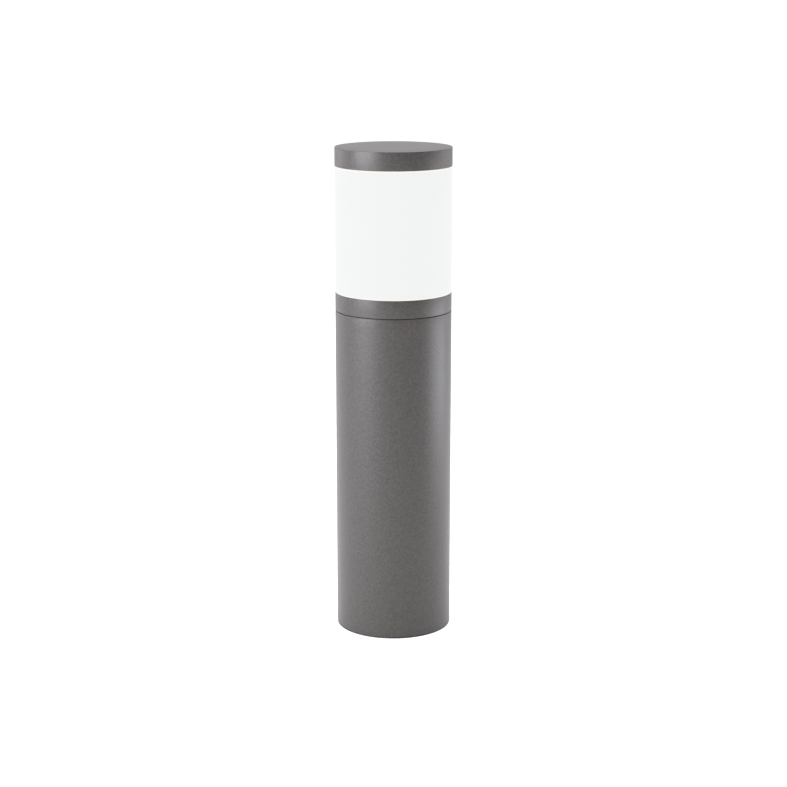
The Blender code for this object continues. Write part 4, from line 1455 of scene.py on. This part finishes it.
@dataclass
class LightEngine:
    """The LED column, its boards and the tie rod. Sizes in millimetres."""

    shop: Workshop
    face: float = 26.9
    rows: int = 16
    row_pitch: float = 11.0
    column_gap: float = 12.0
    rod_radius: float = 3.6
    rod_lead: float = 0.8
    rod_chamfer: float = 0.6
    thread_pitch: float = 1.25
    thread_depth: float = 0.5
    thread_turns: int = 14

    def build(self) -> None:
        """Makes the column and everything on it."""
        self.shop.refine("led_column", EXTRUDED, 0.4)
        for number in range(1, 7):
            self.shop.refine(f"led_board_{number}", MASK, 0.15)
        self.chips()
        for number in (1, 2, 3):
            place_screw(self.shop, f"column_screw_{number}", M4_LONG, DOWN)
        self.shop.refine("tie_washer", STEEL, 0.2)
        self.shop.refine("tie_nut", STEEL, 0.5)
        self.tie_rod()

    def chips(self) -> None:
        """The LEDs in two columns on every board, each a package with its phosphor."""
        low, high = heights(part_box("led_board_1"))
        for name, finish, size, stand in (
            ("led_packages", PACKAGE, (0.7, 3.0, 3.0), 0.35),
            ("led_phosphors", PHOSPHOR, (0.1, 2.3, 2.3), 0.75),
        ):
            field = self.shop.blocks(
                name,
                finish,
                Columns=2,
                Rows=self.rows,
                Wide=self.column_gap * MM,
                Tall=(self.rows - 1) * self.row_pitch * MM,
                Block=tuple(side * MM for side in size),
                Centre=((self.face + stand) * MM, 0.0, (low + high) / 2 * MM),
                Fields=6,
                Turn=math.radians(-90),
            )
            self.shop.hand_over(field, body="head", slot="board")

    def tie_rod(self) -> None:
        """The rod, with its thread as ridges at each end."""
        low, high = heights(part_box("tie_rod"))
        radius, pitch, turns = self.rod_radius, self.thread_pitch, self.thread_turns
        tip = radius - self.rod_chamfer
        corners: list[Corner] = [(0, low, 0), (tip, low, 0)]
        for start in (low + self.rod_lead, high - self.rod_lead - turns * pitch):
            for turn in range(turns):
                z = start + turn * pitch
                corners += [(radius, z, 0), (radius - self.thread_depth, z + pitch / 2, 0)]
        corners += [(tip, high, 0), (0, high, 0)]
        rod = self.shop.turned("tie_rod_threaded", corners, STEEL, SMALL, True)
        self.shop.hand_over(rod, "tie_rod")


@dataclass
class Gear:
    """The gland, the tray and everything that hangs on it. Sizes in millimetres."""

    shop: Workshop
    glass_radius: float = 2.2
    glass_inset: float = 1.0
    cap_radius: float = 2.5
    cap_length: float = 5.0
    grip: Triple = (0.5, 6.4, 0.6)
    grip_count: int = 4
    grip_span: float = 4.5
    grip_inset: float = 1.1
    grip_height: float = 6.0

    def build(self) -> None:
        """Makes every piece of the gear."""
        for node, finish, width in (
            ("gland_body", GREY, 0.4),
            ("gland_cap", GREY, 0.5),
            ("gland_locknut", GREY, 0.4),
            ("gear_tray", ZINC, 0.3),
            ("driver_case", EXTRUDED, 0.3),
            ("driver_cover_bottom", BLACK, 0.3),
            ("driver_cover_top", BLACK, 0.3),
            ("terminal_block", GREY, 0.3),
            ("terminal_lever_1", ORANGE, 0.12),
            ("terminal_lever_2", ORANGE, 0.12),
            ("terminal_lever_3", ORANGE, 0.12),
            ("fuse_base", GREY, 0.3),
            ("fuse_lever", BLACK, 0.25),
            ("led_lead", SHEATH, 0),
            ("supply_lead", SHEATH, 0),
            ("fuse_lead", BROWN, 0),
            ("earth_lead", EARTH, 0),
        ):
            self.shop.refine(node, finish, width)
        self.screws()
        self.fuse()
        self.lever_grips()

    def screws(self) -> None:
        """The gear's small screws."""
        for number in (1, 2):
            place_screw(self.shop, f"tray_screw_{number}", M4_TRAY, DOWN)
        for node in ("tray_earth_screw", "driver_screw_bottom", "driver_screw_top"):
            place_screw(self.shop, node, M4, Vector((0, -1, 0)))

    def fuse(self) -> None:
        """The cartridge's glass and its two end caps."""
        low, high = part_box("fuse_cartridge")
        centre = ((low[0] + high[0]) / 2, (low[1] + high[1]) / 2)
        low, high = low[2] / MM, high[2] / MM
        radius, start, end = self.glass_radius, low + self.glass_inset, high - self.glass_inset
        corners = [(0, start, 0), (radius, start, 0), (radius, end, 0), (0, end, 0)]
        glass = self.shop.turned("fuse_glass_tube", corners, GLASS, SMALL, True, centre)
        self.shop.hand_over(glass, "fuse_cartridge")
        radius, long = self.cap_radius, self.cap_length
        for name, start, end in (
            ("fuse_cap_bottom", low, low + long),
            ("fuse_cap_top", high - long, high),
        ):
            corners = [(0, start, 0), (radius, start, 0.4), (radius, end, 0.3), (0, end, 0)]
            cap = self.shop.turned(name, corners, STEEL, SMALL, True, centre)
            self.shop.hand_over(cap, body="fuse_lever", slot="steel")

    def lever_grips(self) -> None:
        """Grip ribs on each terminal lever."""
        for number in (1, 2, 3):
            node = f"terminal_lever_{number}"
            low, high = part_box(node)
            ribs = self.shop.blocks(
                f"lever_ribs_{number}",
                ORANGE,
                Columns=1,
                Rows=self.grip_count,
                Tall=self.grip_span * MM,
                Block=tuple(side * MM for side in self.grip),
                Centre=(0.0, 0.0, 0.0),
                Turn=math.radians(-90),
            )
            middle, front = (low[0] + high[0]) / 2, low[1] + self.grip_inset * MM
            place = Vector((middle, front, low[2] + self.grip_height * MM))
            ribs.data.transform(Matrix.Translation(place))
            self.shop.hand_over(ribs, body=node, slot="orange")


# The stage


@dataclass(frozen=True)
class SoftLight:
    """A rectangular area light that faces the bollard. Sizes in metres."""

    name: str
    place: Triple
    wide: float
    tall: float
    power: float
    colour: Colour = (1.0, 1.0, 1.0)
    aim: float = 0.4


@dataclass
class Stage:
    """The floor, lights, surroundings and camera. Metres, and millimetres for lens and sensor."""

    distance: float = 3.0
    lens: float = 85.2
    pitch: float = 12.98
    eye_above_top: float = 0.285
    sensor: float = 36.0
    far: float = 2000.0
    floor_side: float = 600.0
    floor_dark: Colour = (0.64, 0.64, 0.64)
    floor_light: Colour = (0.68, 0.68, 0.68)
    floor_roughness: float = 0.85
    floor_glow: float = 0.62
    room_front: float = 0.22
    lights: tuple[SoftLight, ...] = (
        SoftLight("left_front", (-2.5, -1.65, 1.05), 2.2, 1.5, 128.0, (0.89, 0.92, 1.0)),
        SoftLight("left_back", (-2.9, 1.7, 0.9), 1.4, 1.4, 17.0, (0.89, 0.92, 1.0)),
        SoftLight("right_back", (2.9, 1.6, 0.9), 1.4, 1.4, 12.0, (0.89, 0.92, 1.0)),
        SoftLight("right_low", (1.35, 0.12, 0.17), 1.0, 0.28, 6.2, (0.89, 0.92, 1.0)),
        SoftLight("right_high", (1.5, 0.0, 0.60), 0.9, 0.3, 2.6, (0.89, 0.92, 1.0), 0.7),
        SoftLight("overhead", (0.0, 0.5, 3.2), 1.8, 1.8, 100.0, (0.91, 0.94, 1.0)),
    )

    def build(self) -> None:
        """Sets up everything that isn't part of the bollard."""
        bpy.context.scene.view_settings.view_transform = "Standard"
        self.camera()
        self.floor()
        self.surroundings()
        for light in self.lights:
            self.panel(light)

    def camera(self) -> None:
        """The camera, in front of the bollard and a little above its cap."""
        data = bpy.data.cameras.new("view")
        data.lens, data.sensor_width, data.clip_end = self.lens, self.sensor, self.far
        camera = bpy.data.objects.new("view", data)
        bpy.context.scene.collection.objects.link(camera)
        camera.location = (0.0, -self.distance, CAD_BOUNDS[1][2] + self.eye_above_top)
        camera.rotation_euler = (math.radians(90 - self.pitch), 0.0, 0.0)
        bpy.context.scene.camera = camera

    def floor(self) -> None:
        """A wide, plain, pale floor."""
        mesh = bpy.data.meshes.new("floor")
        with editing(mesh) as shape:
            bmesh.ops.create_grid(shape, x_segments=1, y_segments=1, size=self.floor_side / 2)
        floor = link("floor", mesh)
        shader = Shader("pale_floor")
        tone = shader.noise(3.0, 3)
        shader.set(Base_Color=shader.blend(tone, self.floor_dark, self.floor_light))
        shader.set(Roughness=(tone - 0.5) * 0.1 + self.floor_roughness)
        shader.set(Emission_Color=(1, 1, 1, 1), Emission_Strength=self.floor_glow)
        mesh.materials.append(shader.material)

    def surroundings(self) -> None:
        """An even white room round the bollard, dimmer towards the front."""
        world = bpy.data.worlds.new("room")
        bpy.context.scene.world = world
        world.use_nodes = True
        graph = Graph(world.node_tree)
        background = world.node_tree.nodes["Background"]
        way = graph.node("ShaderNodeTexCoord").outputs["Generated"]
        split = graph.node("ShaderNodeSeparateXYZ", inputs={"Vector": way})
        behind = Value(graph, split.outputs["Y"]) * 0.5 + 0.5
        room = (behind * (1 - self.room_front) + self.room_front).socket
        world.node_tree.links.new(room, background.inputs["Color"])
        background.inputs["Strength"].default_value = 1.0

    def panel(self, light: SoftLight) -> None:
        """Adds one soft light, which the camera doesn't see.

        Args:
            light: Its place, size, power and colour.
        """
        data = bpy.data.lights.new(light.name, "AREA")
        data.shape, data.size, data.size_y = "RECTANGLE", light.wide, light.tall
        data.energy, data.color = light.power, light.colour
        panel = bpy.data.objects.new(light.name, data)
        bpy.context.scene.collection.objects.link(panel)
        panel.location = light.place
        panel.visible_camera = False
        aim = Vector((0.0, 0.0, light.aim)) - Vector(light.place)
        panel.rotation_euler = aim.to_track_quat("-Z", "Y").to_euler()


def main() -> None:
    """Builds the stage and every sub-assembly, in order."""
    logging.basicConfig(level=logging.INFO, format="%(name)s: %(message)s")
    Stage().build()
    shop = Workshop()
    assemblies: tuple[Callable[[Workshop], Any], ...] = (Post, LampHead, LightEngine, Gear)
    for assembly in assemblies:
        assembly(shop).build()


if __name__ == "__main__":
    main()
